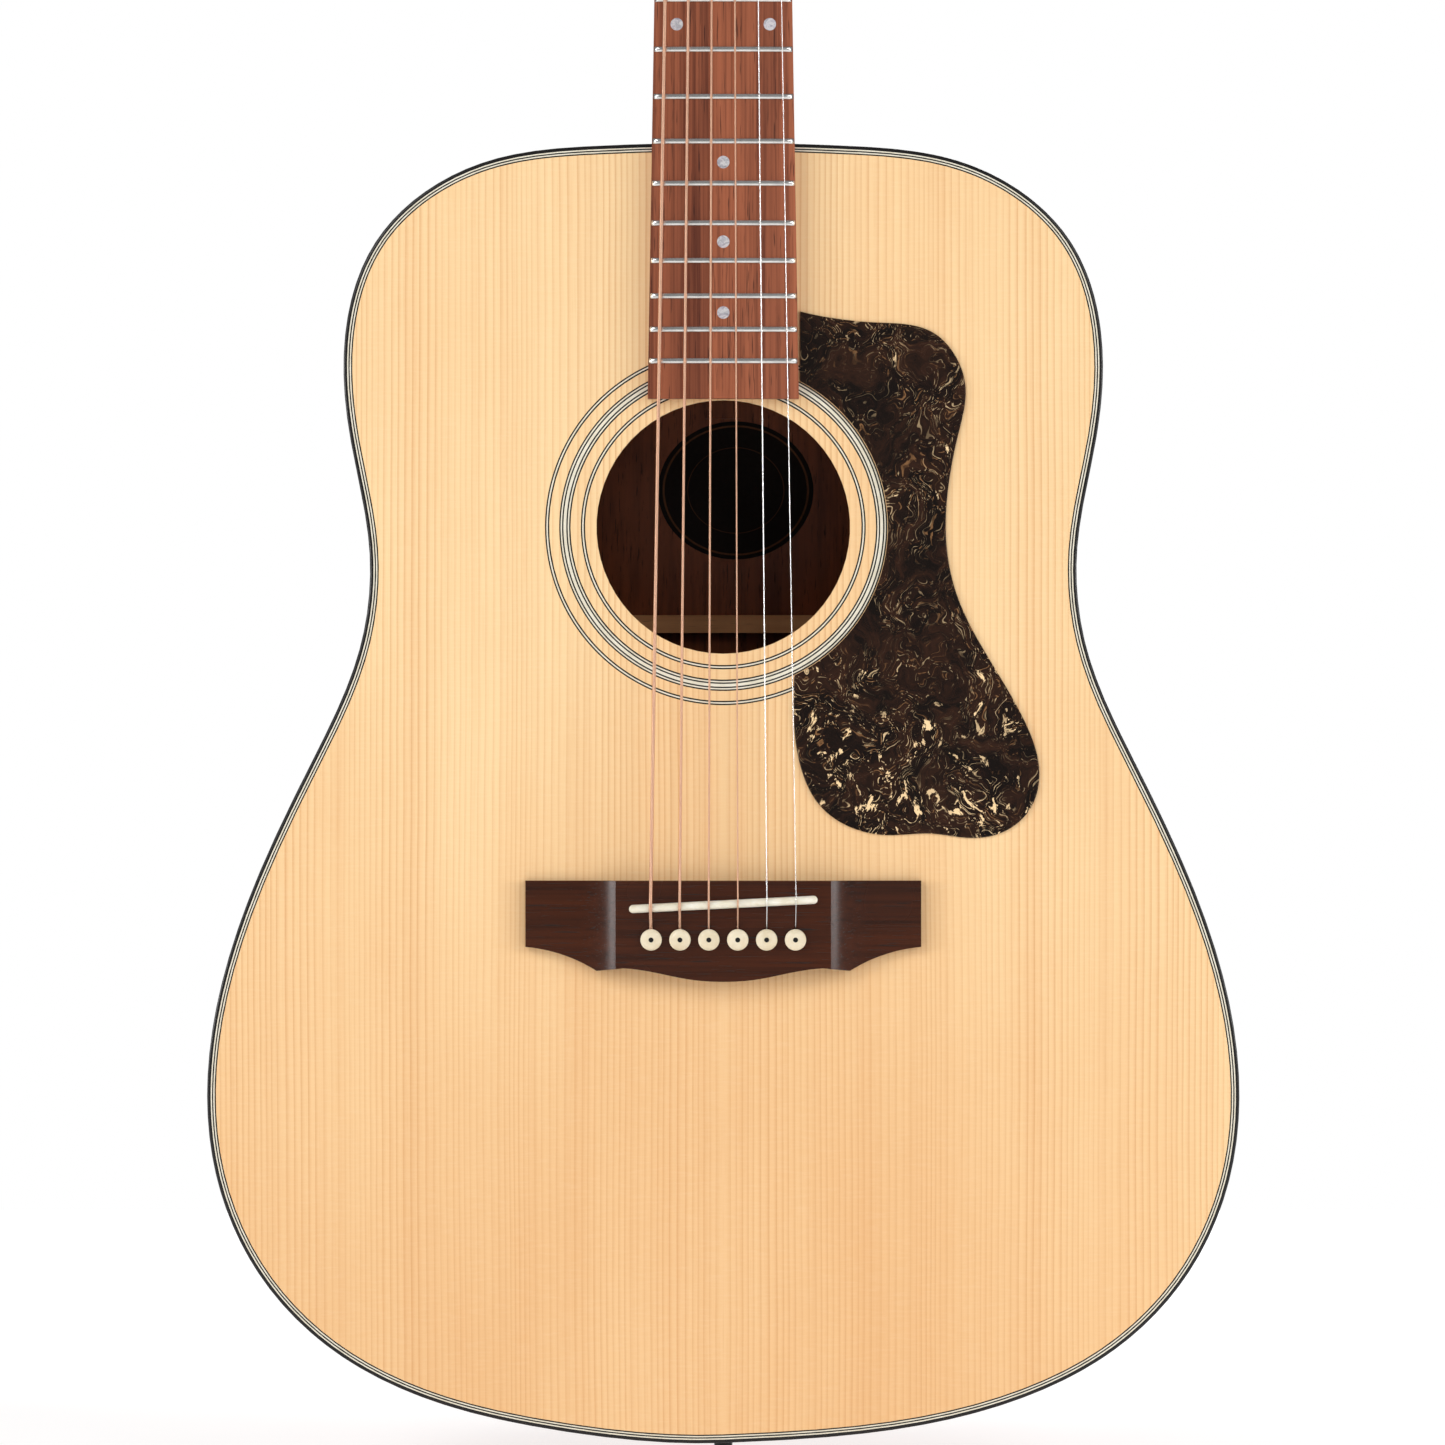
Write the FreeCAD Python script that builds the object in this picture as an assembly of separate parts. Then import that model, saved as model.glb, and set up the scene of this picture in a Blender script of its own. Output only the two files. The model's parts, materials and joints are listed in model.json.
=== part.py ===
"""Steel-string dreadnought guitar, 14 frets clear of the body, as an assembly of separate pieces.

Frame, in millimetres: X to the treble side, Y from the front of the guitar to its back, Z up the neck.
The origin is the middle of the end pin's waist, where a strap sits. Pieces are drawn with the tail of the
body at z = 0 and lifted to that origin as they are written. "Depth" is measured from the face of the
soundboard towards the back, so what stands proud of the soundboard has a negative depth.
"""
import FreeCAD, Part
import math
import os
from FreeCAD import Rotation, Vector

# ---------------------------------------------------------------- driving dimensions
SCALE_LENGTH = 647.7              # nut to the twelfth fret, doubled: 25.5 inches
FRET_COUNT = 20
BODY_JOIN_FRET = 14
TAIL_DEPTH = 121.0                # depth of the body at the end pin
NECK_END_DEPTH = 102.0            # depth of the body at the heel
FACE_Y = -TAIL_DEPTH / 2          # the soundboard's face; the end pin is midway through the depth
BACK_DOME_RADIUS = 4572.0         # 15 feet

# Half of the body's outline, tail to neck, treble side: (x, z)
HALF_OUTLINE = [
    (0, 0), (65, 5), (113.3, 16.6), (150, 35.3), (179, 65), (196.2, 106), (198.2, 150), (186, 201.6),
    (160, 260), (140, 307), (136.5, 345), (143.6, 386), (146.4, 418), (134, 463.2), (93, 493.6),
    (48, 500.2), (0, 501.4),
]
BODY_LENGTH = HALF_OUTLINE[-1][1]

TOP_THICKNESS = 3.0
BACK_THICKNESS = 2.8
SIDE_THICKNESS = 2.4
BINDING_WIDTH = 1.4
BINDING_HEIGHT = 6.0
PURFLING_LINE = 0.5
PURFLING_DEPTH = 1.6
LINING_WIDTH = 6.0
LINING_HEIGHT = 14.0

HOLE_Z = 353.2
HOLE_RADIUS = 48.9
RING_LINE = 0.54
RING_DEPTH = 1.2
INNER_RINGS_START = 53.3
MIDDLE_RINGS_START = 58.9
OUTER_RINGS_START = 67.1
WIDE_RING = 1.1

BRIDGE_TOP_Z = 216.9
BRIDGE_HEIGHT = 8.7
BRIDGE_HALF_LENGTH = 76.2
BRIDGE_WING_HEIGHT = 3.4
BRIDGE_BLOCK_HALF = 41.4          # half length of the raised middle block
SADDLE_THICKNESS = 3.2
SADDLE_LENGTH = 72.5
SADDLE_MIDDLE_Z = 207.9
SADDLE_SLANT = 2.9                # degrees, lower on the bass side
SADDLE_SLOT_DEPTH = 6.5
CROWN_DEPTH = -12.3               # top of the saddle at its middle
PIN_Z = 194.3
PIN_SPACING = 11.1
PIN_HEAD_RADIUS = 4.1
PIN_TOP_RADIUS = 2.6
PIN_LENGTH = 21.0
BALL_RADIUS = 1.9                 # ball end of a string
BALL_LENGTH = 3.4
PIN_TAPER = 0.03                  # radius lost per millimetre of length
BRIDGE_PLATE_THICKNESS = 3.0

STRAP_WAIST_RADIUS = 3.6
PIN_RIM_RADIUS = 7.0
PIN_RIM_TOP = -10.7               # below the tail of the body
PIN_RIM_LENGTH = 2.6

NUT_WIDTH = 42.9
NUT_THICKNESS = 5.0
FRETBOARD_END_WIDTH = 58.2
FRETBOARD_END_Z = 402.4
FRETBOARD_THICKNESS = 7.2
FRETBOARD_RADIUS = 406.4          # 16 inches
FRET_HEIGHT = 1.1
FRET_WIDTH = 2.3
FRET_TANG_WIDTH = 0.56
FRET_TANG_DEPTH = 1.7
DOT_RADIUS = 2.4
SIDE_DOT_RADIUS = 1.0
SIDE_DOT_LENGTH = 1.5

STRING_RADII = [0.152, 0.203, 0.305, 0.406, 0.533, 0.673]     # first string to sixth
SADDLE_SPACING = 11.18
NUT_SPACING = 7.0
NUT_ACTION = 0.45                 # underside of the strings above the frets' plane, at the nut

HEAD_TILT = 13.0
HEAD_LENGTH = 172.0
HEAD_WOOD = 13.0
OVERLAY_THICKNESS = 2.0
OVERLAY_START_DEPTH = -1.5
HEAD_SHOULDER_HALF = 34.0
HEAD_TOP_HALF = 38.0
HEAD_CORNER = 7.0
POST_V = [42.0, 84.0, 126.0]
POST_EDGE = 12.5                  # post axis in from the edge of the head

# Open tuning machine, in its own frame: u outwards, v up the head, n out of the head's back
GEAR_TEETH = 15
GEAR_MODULE = 0.7
GEAR_RADIUS = GEAR_MODULE * GEAR_TEETH / 2
GEAR_THICKNESS = 2.6
WORM_RADIUS = 2.5
WORM_PITCH = math.pi * GEAR_MODULE
ADDENDUM = 0.62
DEDENDUM = 0.85
WORM_LENGTH = 9.0
WORM_SHAFT_RADIUS = 1.5
WORM_V = -(GEAR_RADIUS + WORM_RADIUS)
GEAR_N = 4.8                      # height of the gear's middle and the worm's axis over the head's back
PLATE_THICKNESS = 1.2
EAR_THICKNESS = 2.0
EAR_GAP = 0.15
EAR_HALF_WIDTH = 3.4
RUNNING_CLEARANCE = 0.05
POST_RADIUS = 3.0
POST_WAIST = 2.5
POST_HEIGHT = 15.5                # above the face of the head
POST_HOLE_HEIGHT = 9.6
TURNS = [5, 5, 4, 3, 3, 2]        # turns of each string on its post, first string to sixth
BUSHING_RADIUS = 4.25
BUTTON_START = 15.5               # from the post's axis
BUTTON_LENGTH = 16.0
BUTTON_HALF_WIDTH = 9.5
BUTTON_HALF_THICKNESS = 3.8

NUT_Z = BODY_LENGTH + SCALE_LENGTH * (1 - 2 ** (-BODY_JOIN_FRET / 12))
TAIL_ABOVE_ORIGIN = 5.6           # from the middle of the end pin's waist to its seat
FAR = 1000.0
PARTS = "parts"


# ---------------------------------------------------------------- helpers
def at(x, depth, z):
    """A point from x, the depth behind the soundboard's face, and z."""
    return Vector(x, FACE_Y + depth, z)


def box(x0, x1, d0, d1, z0, z1):
    """A box between two corners given as x, depth and z."""
    return Part.makeBox(x1 - x0, d1 - d0, z1 - z0, at(x0, d0, z0))


def rod(x, z, radius, d0, d1):
    """A cylinder along Y between two depths."""
    return Part.makeCylinder(radius, d1 - d0, at(x, d0, z), Vector(0, 1, 0))


def fuse(shapes):
    """One shape from several that touch or overlap."""
    first, rest = shapes[0], shapes[1:]
    return first.fuse(rest).removeSplitter() if rest else first


def polygon(points):
    """A closed wire of straight edges."""
    return Part.makePolygon(points + [points[0]])


def prism_x(profile, x0, x1):
    """A (depth, z) outline extruded along X."""
    wire = polygon([at(x0, d, z) for d, z in profile])
    return Part.Face(wire).extrude(Vector(x1 - x0, 0, 0))


def prism_y(profile, d0, d1):
    """An (x, z) outline extruded from one depth to another."""
    wire = polygon([at(x, d0, z) for x, z in profile])
    return Part.Face(wire).extrude(Vector(0, d1 - d0, 0))


def revolved_y(profile, x, z):
    """A (radius, depth) outline turned about an axis along Y."""
    wire = polygon([at(x + r, d, z) for r, d in profile])
    return Part.Face(wire).revolve(at(x, 0, z), Vector(0, 1, 0), 360)


def export(name, shapes):
    """Writes one sub-part, made of one or more separate solids."""
    solids = []
    for shape in shapes if isinstance(shapes, list) else [shapes]:
        solids += shape.Solids
    whole = solids[0].copy() if len(solids) == 1 else Part.makeCompound(solids)
    whole.translate(Vector(0, 0, TAIL_ABOVE_ORIGIN))
    whole.exportStep(os.path.join(PARTS, name + ".step"))
    bad = [s for s in solids if not s.isValid() or s.Volume <= 0]
    volume = sum(s.Volume for s in solids) / 1000
    print(f"{name}: {len(solids)} solid(s), {volume:.2f} cm3", "BAD" if bad else "")


# ---------------------------------------------------------------- the body's outline and dome
def closed_curve(points):
    """A smooth closed curve through (x, z) points."""
    curve = Part.BSplineCurve()
    curve.interpolate(Points=[Vector(x, 0, z) for x, z in points], PeriodicFlag=True)
    return curve


def body_curve():
    """The outline of the body, the treble half mirrored to the bass side."""
    mirrored = [(-x, z) for x, z in reversed(HALF_OUTLINE[1:-1])]
    return closed_curve(HALF_OUTLINE + mirrored)


BODY_CURVE = body_curve()
OFFSET_SAMPLES = 96


def outline_points(inset):
    """(x, z) points round the body, a distance inside its outline."""
    first, last = BODY_CURVE.FirstParameter, BODY_CURVE.LastParameter
    points = []
    for i in range(OFFSET_SAMPLES):
        t = first + (last - first) * i / OFFSET_SAMPLES
        p = BODY_CURVE.value(t)
        along = BODY_CURVE.tangent(t)[0]
        points.append((p.x - along.z * inset, p.z + along.x * inset))
    return points


def outline_wire(inset, depth):
    """The body's outline, inset, at a depth."""
    curve = BODY_CURVE.copy() if inset == 0 else closed_curve(outline_points(inset))
    curve.translate(Vector(0, FACE_Y + depth, 0))
    return Part.Wire([curve.toShape()])


def plate(inset, d0, d1):
    """A flat plate with the body's outline."""
    return Part.Face(outline_wire(inset, d0)).extrude(Vector(0, d1 - d0, 0))


def band(outer_inset, inner_inset, d0, d1):
    """A ring that follows the body's outline between two insets."""
    return plate(outer_inset, d0, d1).cut(plate(inner_inset, d0 - 1, d1 + 1))


def dome(inset):
    """The ball whose surface is the outside of the back, or lies inset inside it."""
    fall = TAIL_DEPTH - NECK_END_DEPTH
    deepest_z = (BODY_LENGTH ** 2 - 2 * BACK_DOME_RADIUS * fall) / (2 * BODY_LENGTH)
    deepest = TAIL_DEPTH + deepest_z ** 2 / (2 * BACK_DOME_RADIUS)
    centre = at(0, deepest - BACK_DOME_RADIUS, deepest_z)
    return Part.makeSphere(BACK_DOME_RADIUS - inset, centre)


BACK_LIMIT = TAIL_DEPTH + 5.0     # deeper than any point of the back
DOME_OUTSIDE = dome(0)
DOME_INSIDE = dome(BACK_THICKNESS)


# ---------------------------------------------------------------- soundbox
def rosette_lines():
    """(first radius, last radius, colour) of each inlaid line round the sound hole."""
    lines = []

    def group(start, colours):
        radius = start
        for colour in colours:
            width = WIDE_RING if colour == "wide" else RING_LINE
            lines.append((radius, radius + width, "black" if colour == "black" else "white"))
            radius += width

    group(INNER_RINGS_START, ["black", "white", "black"])
    group(MIDDLE_RINGS_START, ["black", "white", "black", "wide", "black", "white", "black"])
    group(OUTER_RINGS_START, ["black", "white", "black"])
    return lines


def rosette(colour):
    """The inlaid rings of one colour."""
    rings = []
    for inner, outer, ring_colour in rosette_lines():
        if ring_colour == colour:
            disc = rod(0, HOLE_Z, outer, 0, RING_DEPTH)
            rings.append(disc.cut(rod(0, HOLE_Z, inner, -1, RING_DEPTH + 1)))
    return rings


def rosette_channels():
    """The three round channels that the rings lie in."""
    channels = []
    groups = ((INNER_RINGS_START, 3, 0), (MIDDLE_RINGS_START, 6, 1), (OUTER_RINGS_START, 3, 0))
    for start, count, wide in groups:
        outer = start + count * RING_LINE + wide * WIDE_RING
        disc = rod(0, HOLE_Z, outer, -1, RING_DEPTH)
        channels.append(disc.cut(rod(0, HOLE_Z, start, -2, RING_DEPTH + 1)))
    return channels


def string_x_at_pins(number):
    """x of a string's bridge pin; the first string is on the treble side."""
    return PIN_SPACING * (3.5 - number)


def pin_cone(number, clearance):
    """The tapered body of a bridge pin, or the hole reamed for it."""
    x = string_x_at_pins(number)
    top = -BRIDGE_HEIGHT - 0.6
    bottom = top + PIN_LENGTH
    r0 = PIN_TOP_RADIUS + clearance
    length = bottom - top
    return Part.makeCone(r0, r0 - PIN_TAPER * length, length, at(x, top, PIN_Z), Vector(0, 1, 0))


def soundboard():
    """The spruce top: sound hole, rosette channels, purfling rebate and the reamed pin holes."""
    purfling_width = 4 * PURFLING_LINE
    shape = plate(BINDING_WIDTH, 0, TOP_THICKNESS)
    shape = shape.cut(band(BINDING_WIDTH - 1, BINDING_WIDTH + purfling_width, -1, PURFLING_DEPTH))
    cutters = [rod(0, HOLE_Z, HOLE_RADIUS, -1, TOP_THICKNESS + 1)] + rosette_channels()
    cutters += [pin_cone(n, 0) for n in range(1, 7)]
    return shape.cut(cutters)


def purfling(first_line):
    """Every second line of the top's purfling, starting from the first or the second."""
    lines = []
    for i in (first_line, first_line + 2):
        inset = BINDING_WIDTH + i * PURFLING_LINE
        lines.append(band(inset, inset + PURFLING_LINE, 0, PURFLING_DEPTH))
    return lines


def top_binding():
    """The binding round the front edge, its corner rounded over."""
    shape = band(0, BINDING_WIDTH, 0, BINDING_HEIGHT)
    corner = [e for e in shape.Edges if e.BoundBox.YMax < FACE_Y + 0.01 and e.BoundBox.XLength > 2 * 198.0]
    return shape.makeFillet(0.9, corner)


def back_plate():
    """The domed back, inside its binding and purfling."""
    shape = plate(BINDING_WIDTH, 50, BACK_LIMIT).common(DOME_OUTSIDE).cut(DOME_INSIDE)
    return shape


def back_binding():
    """The binding round the back edge."""
    return band(0, BINDING_WIDTH, 50, BACK_LIMIT).common(DOME_OUTSIDE).cut(dome(BINDING_HEIGHT))


WEDGE_HALF = 6.0
WEDGE_TOP = 12.0


def rim():
    """Both sides as one ring, rebated for the bindings."""
    inner = band(BINDING_WIDTH, SIDE_THICKNESS, TOP_THICKNESS, BACK_LIMIT).common(DOME_INSIDE)
    outer = band(0, BINDING_WIDTH, BINDING_HEIGHT, BACK_LIMIT).common(dome(BINDING_HEIGHT))
    return fuse([inner, outer])


def tenon():
    """The neck's dovetail, wider inside the body than at its face."""
    face_z, root_z = BODY_LENGTH + 4, BODY_LENGTH - 18
    profile = [(-13, face_z), (13, face_z), (19, root_z), (-19, root_z)]
    return prism_y(profile, BINDING_HEIGHT, 76)


def side(rim_shape, sign):
    """One bent side: half of the rim, clear of the end wedge and the neck's tenon."""
    half = box(0, FAR, -FAR, FAR, -FAR, FAR) if sign > 0 else box(-FAR, 0, -FAR, FAR, -FAR, FAR)
    wedge_space = box(-WEDGE_HALF, WEDGE_HALF, -5, BACK_LIMIT + 5, -5, WEDGE_TOP)
    return rim_shape.common(half).cut([wedge_space, tenon()])


def end_wedge(rim_shape):
    """The strip let in where the two sides meet at the tail."""
    strip = box(-WEDGE_HALF, WEDGE_HALF, -5, BACK_LIMIT + 5, -5, WEDGE_TOP)
    return rim_shape.common(strip).cut(strap_button())


def inner_space():
    """The inside of the soundbox, wall to wall, under the top."""
    return plate(SIDE_THICKNESS, TOP_THICKNESS, BACK_LIMIT).common(DOME_INSIDE)


NECK_BLOCK_HALF = 32.0
NECK_BLOCK_Z = 459.0
TAIL_BLOCK_HALF = 40.0
TAIL_BLOCK_Z = 18.0


def neck_block(space):
    """The block that the neck's dovetail is let into."""
    block = box(-NECK_BLOCK_HALF, NECK_BLOCK_HALF, 0, BACK_LIMIT, NECK_BLOCK_Z, FAR).common(space)
    return block.cut(tenon())


def tail_block(space):
    """The block behind the end pin."""
    block = box(-TAIL_BLOCK_HALF, TAIL_BLOCK_HALF, 0, BACK_LIMIT, -5, TAIL_BLOCK_Z).common(space)
    return block.cut(strap_button())


def tapered_hollow(d_wide, d_narrow, inset_wide, inset_narrow):
    """The space inside a lining whose inner face slopes back to the side."""
    wires = [outline_wire(inset_wide, d_wide), outline_wire(inset_narrow, d_narrow)]
    return Part.makeLoft(wires, True, True)


def block_spaces():
    """What the linings stop short of: the two end blocks."""
    neck_end = box(-NECK_BLOCK_HALF, NECK_BLOCK_HALF, -5, BACK_LIMIT + 5, NECK_BLOCK_Z, FAR)
    tail_end = box(-TAIL_BLOCK_HALF, TAIL_BLOCK_HALF, -5, BACK_LIMIT + 5, -10, TAIL_BLOCK_Z)
    return [neck_end, tail_end]


def top_linings():
    """The strips that join the sides to the top."""
    inner = SIDE_THICKNESS + LINING_WIDTH
    start, middle, end = TOP_THICKNESS, TOP_THICKNESS + 5, TOP_THICKNESS + LINING_HEIGHT
    ring = band(SIDE_THICKNESS, inner, start, end)
    slope = tapered_hollow(middle, end + 1, inner + 0.01, SIDE_THICKNESS + 0.8)
    return ring.cut([slope] + block_spaces())


def back_linings():
    """The strips that join the sides to the back."""
    inner = SIDE_THICKNESS + LINING_WIDTH
    ring = band(SIDE_THICKNESS, inner, 50, BACK_LIMIT).common(DOME_INSIDE)
    ring = ring.cut(dome(BACK_THICKNESS + LINING_HEIGHT))
    return ring.cut(block_spaces())


# ---------------------------------------------------------------- bracing
X_CROSSING_Z = 268.0
X_HALF_ANGLE = 49.0


def brace(x, z, angle, before, after, width, height, tip=3.0, taper=55.0):
    """A bar under the top: its middle point, direction (degrees from +X towards +Z) and two lengths.

    Both ends run down to a low tip over the taper's length, and the inner corners are rounded off.
    """
    d0 = TOP_THICKNESS
    profile = [(-before, d0), (after, d0), (after, d0 + tip), (after - taper, d0 + height),
               (taper - before, d0 + height), (-before, d0 + tip)]
    face = Part.Face(polygon([Vector(s, FACE_Y + d, -width / 2) for s, d in profile]))
    bar = face.extrude(Vector(0, 0, width))
    deepest = FACE_Y + d0 + height - 0.1
    crown = [e for e in bar.Edges
             if abs(e.BoundBox.ZLength) < 0.01 and e.BoundBox.YMax > deepest and e.BoundBox.XLength > 1]
    bar = bar.makeChamfer(min(width * 0.28, (height - tip) * 0.6), crown)
    bar.rotate(Vector(0, 0, 0), Vector(0, 1, 0), -angle)
    bar.translate(Vector(x, 0, z))
    return bar


def x_braces(space):
    """The two crossed bars, halved over each other."""
    width, height = 8.0, 15.0
    down, up = 200.0, 190.0
    one = brace(0, X_CROSSING_Z, 90 - X_HALF_ANGLE, down, up, width, height)
    two = brace(0, X_CROSSING_Z, 90 + X_HALF_ANGLE, down, up, width, height)
    middle = TOP_THICKNESS + height / 2
    near = box(-9, 9, 0, middle, X_CROSSING_Z - 9, X_CROSSING_Z + 9)
    far = box(-9, 9, middle, 40, X_CROSSING_Z - 9, X_CROSSING_Z + 9)
    first = one.cut(two.common(far)).common(space)
    second = two.cut(one.common(near)).common(space)
    return [first, second]


def brace_room():
    """The inside of the top's linings, where braces run."""
    return plate(SIDE_THICKNESS + LINING_WIDTH + 0.5, TOP_THICKNESS, 60)


def tone_bars(room, crossed):
    """Two slanting bars across the lower bout, the upper one notched over the bridge plate."""
    bars = [brace(-22, 142, 29, 150, 92, 6.5, 12.0), brace(-18, 92, 29, 120, 106, 6.5, 11.0)]
    return [b.common(room).cut(crossed + [bridge_plate(crossed)]) for b in bars]


def finger_braces(room, crossed):
    """Two short bars on each side, from the crossed braces to the rim."""
    bars = []
    for sign in (-1, 1):
        for x, z, turn in ((128, 236, 28), (139, 196, 20)):
            angle = turn if sign > 0 else 180 - turn
            bars.append(brace(sign * x, z, angle, 34, 60, 6.0, 8.0, tip=2.0, taper=20))
    return [b.common(room).cut(crossed) for b in bars]


def upper_braces(room, crossed):
    """The heavy bar above the sound hole and a flat one on each side of the hole."""
    transverse = brace(0, 424, 0, 150, 150, 12.0, 14.0, tip=4.0, taper=40)
    flanks = [brace(s * 62, HOLE_Z - 2, 90 + s * 4, 42, 42, 14.0, 3.2, tip=2.0, taper=12) for s in (-1, 1)]
    fitted = [f.common(room).cut(crossed + [transverse]) for f in flanks]
    return [transverse.common(room)] + [max(f.Solids, key=lambda solid: solid.Volume) for f in fitted]


def bridge_plate(crossed):
    """The hardwood plate under the bridge, between the crossed braces."""
    outline = [(-44, 225), (44, 225), (86, 183), (86, 170), (-86, 170), (-86, 183)]
    shape = prism_y(outline, TOP_THICKNESS, TOP_THICKNESS + BRIDGE_PLATE_THICKNESS)
    shape = shape.cut(crossed + [pin_cone(n, 0) for n in range(1, 7)])
    return max(shape.Solids, key=lambda s: s.Volume)


BACK_BRACE_Z = [112.0, 210.0, 317.0, 420.0]
BACK_BRACE_WIDTH = 7.0
BACK_BRACE_HEIGHT = 14.0


def back_braces():
    """Four bars across the back, their glued faces following the dome."""
    room = plate(SIDE_THICKNESS + LINING_WIDTH + 0.5, 50, BACK_LIMIT)
    room = room.common(DOME_INSIDE).cut(dome(BACK_THICKNESS + BACK_BRACE_HEIGHT))
    bars = []
    for z in BACK_BRACE_Z:
        bar = box(-FAR, FAR, 50, BACK_LIMIT, z - BACK_BRACE_WIDTH / 2, z + BACK_BRACE_WIDTH / 2).common(room)
        half = bar.BoundBox.XMax
        floor = bar.BoundBox.YMin - FACE_Y
        for sign in (-1, 1):
            tip = sign * (half + 1)
            ramp = [(sign * (half - 45), floor - 3), (tip, floor - 3), (tip, floor + 11)]
            wire = polygon([at(x, d, z - 20) for x, d in ramp])
            bar = bar.cut(Part.Face(wire).extrude(Vector(0, 0, 40)))
        bars.append(bar)
    return bars


LABEL_X, LABEL_Z = 5.0, 370.5
LABEL_HALF_WIDTH, LABEL_HALF_HEIGHT = 31.0, 27.5


def label():
    """The oval paper label glued to the back under the sound hole."""
    ellipse = Part.Ellipse(Vector(LABEL_X, 0, LABEL_Z), LABEL_HALF_WIDTH, LABEL_HALF_HEIGHT).toShape()
    ellipse.rotate(Vector(LABEL_X, 0, LABEL_Z), Vector(1, 0, 0), 90)
    column = Part.Face(Part.Wire([ellipse])).extrude(Vector(0, 100, 0))
    return column.common(DOME_INSIDE).cut(dome(BACK_THICKNESS + 0.3))


def back_centre_strip(bars):
    """The strip over the back's centre joint, stopped at the braces and the label."""
    strip = box(-7, 7, 50, BACK_LIMIT, TAIL_BLOCK_Z, NECK_BLOCK_Z)
    strip = strip.common(DOME_INSIDE).cut(dome(BACK_THICKNESS + 2.0))
    label_gap = box(-8, 8, 40, BACK_LIMIT, LABEL_Z - LABEL_HALF_HEIGHT - 1, LABEL_Z + LABEL_HALF_HEIGHT + 1)
    return strip.cut(bars + [label_gap])


# ---------------------------------------------------------------- bridge, saddle, pins, pickguard
def bridge_wire(depth):
    """The bridge's outline: straight front, notched wings, and a belly below the pins."""
    end, top = BRIDGE_HALF_LENGTH, BRIDGE_TOP_Z
    cusp, shoulder = (48.8, 182.2), (38.5, 183.3)

    def arc(a, b, c):
        return Part.Arc(*(at(x, depth, z) for x, z in (a, b, c))).toShape()

    def line(a, b):
        return Part.makeLine(at(a[0], depth, a[1]), at(b[0], depth, b[1]))

    belly = Part.BSplineCurve()
    half = [(38.5, 183.3), (26, 181.6), (13, 179.0)]
    belly_points = half + [(0, 178.1)] + [(-x, z) for x, z in reversed(half)]
    belly.interpolate([at(x, depth, z) for x, z in belly_points])
    edges = [
        line((-end, top), (end, top)),
        line((end, top), (end, 191.4)),
        arc((end, 191.4), (62.5, 188.6), cusp),
        line(cusp, shoulder),
        belly.toShape(),
        line((-shoulder[0], shoulder[1]), (-cusp[0], cusp[1])),
        arc((-cusp[0], cusp[1]), (-62.5, 188.6), (-end, 191.4)),
        line((-end, 191.4), (-end, top)),
    ]
    return Part.Wire(edges)


def wing_scoop(sign):
    """What is carved off one wing: flat outside, sweeping up to a crisp edge at the middle block."""
    low, high = -BRIDGE_WING_HEIGHT, -BRIDGE_HEIGHT
    inner, outer = BRIDGE_BLOCK_HALF, BRIDGE_HALF_LENGTH + 2
    z0 = 170.0
    foot = inner + 17.0

    def p(x, d):
        return at(sign * x, d, z0)

    edges = [
        Part.Arc(p(inner, high), p(inner + 5.6, high + 3.35), p(foot, low)).toShape(),
        Part.makeLine(p(foot, low), p(outer, low)),
        Part.makeLine(p(outer, low), p(outer, high - 2)),
        Part.makeLine(p(outer, high - 2), p(inner, high - 2)),
        Part.makeLine(p(inner, high - 2), p(inner, high)),
    ]
    return Part.Face(Part.Wire(edges)).extrude(Vector(0, 0, 60))


def saddle_point(x):
    """z of the saddle's middle line at x."""
    return SADDLE_MIDDLE_Z + x * math.tan(math.radians(SADDLE_SLANT))


def crown_depth(x):
    """Depth of the top of the saddle at x, which follows the fretboard's radius."""
    return CROWN_DEPTH + x * x / (2 * FRETBOARD_RADIUS)


def saddle_blank(d0, d1):
    """A bar with round ends, slanted across the bridge."""
    radius = SADDLE_THICKNESS / 2
    reach = SADDLE_LENGTH / 2 - SADDLE_THICKNESS / 2
    bar = Part.makeBox(2 * reach, d1 - d0, 2 * radius, Vector(-reach, d0, -radius))
    ends = [Part.makeCylinder(radius, d1 - d0, Vector(s * reach, d0, 0), Vector(0, 1, 0)) for s in (-1, 1)]
    shape = fuse([bar] + ends)
    shape.rotate(Vector(0, 0, 0), Vector(0, 1, 0), -SADDLE_SLANT)
    shape.translate(at(0, 0, SADDLE_MIDDLE_Z))
    return shape


def saddle():
    """The bone saddle, its top rounded across and arched along."""
    slot_floor = -BRIDGE_HEIGHT + SADDLE_SLOT_DEPTH
    body = saddle_blank(CROWN_DEPTH - 2, slot_floor)
    radius = SADDLE_THICKNESS / 2
    ridge_radius = FRETBOARD_RADIUS
    centre_y = CROWN_DEPTH + ridge_radius
    middle_radius = ridge_radius - radius
    torus = Part.makeTorus(middle_radius, radius, Vector(0, centre_y, 0), Vector(0, 0, 1))
    inside = Part.makeCylinder(middle_radius, 2 * radius, Vector(0, centre_y, -radius), Vector(0, 0, 1))
    arch = torus.fuse(inside).common(Part.makeBox(90, 60, 20, Vector(-45, CROWN_DEPTH - 1, -10)))
    arch.rotate(Vector(0, 0, 0), Vector(0, 1, 0), -SADDLE_SLANT)
    arch.translate(at(0, 0, SADDLE_MIDDLE_Z))
    return body.common(arch)


# Every string is one line of corners, rounded where it bends: (x, depth, z)
PIN_CORNER_DEPTH = -BRIDGE_HEIGHT + 1.35


def pin_string_z(number):
    """z of a string inside its pin hole, in the slot on the front of the pin."""
    return PIN_Z + 1.75 - STRING_RADII[number - 1]


def frets_plane(x):
    """Depth of the tops of the frets at x."""
    return -(FRETBOARD_THICKNESS + FRET_HEIGHT) + x * x / (2 * FRETBOARD_RADIUS)


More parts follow.
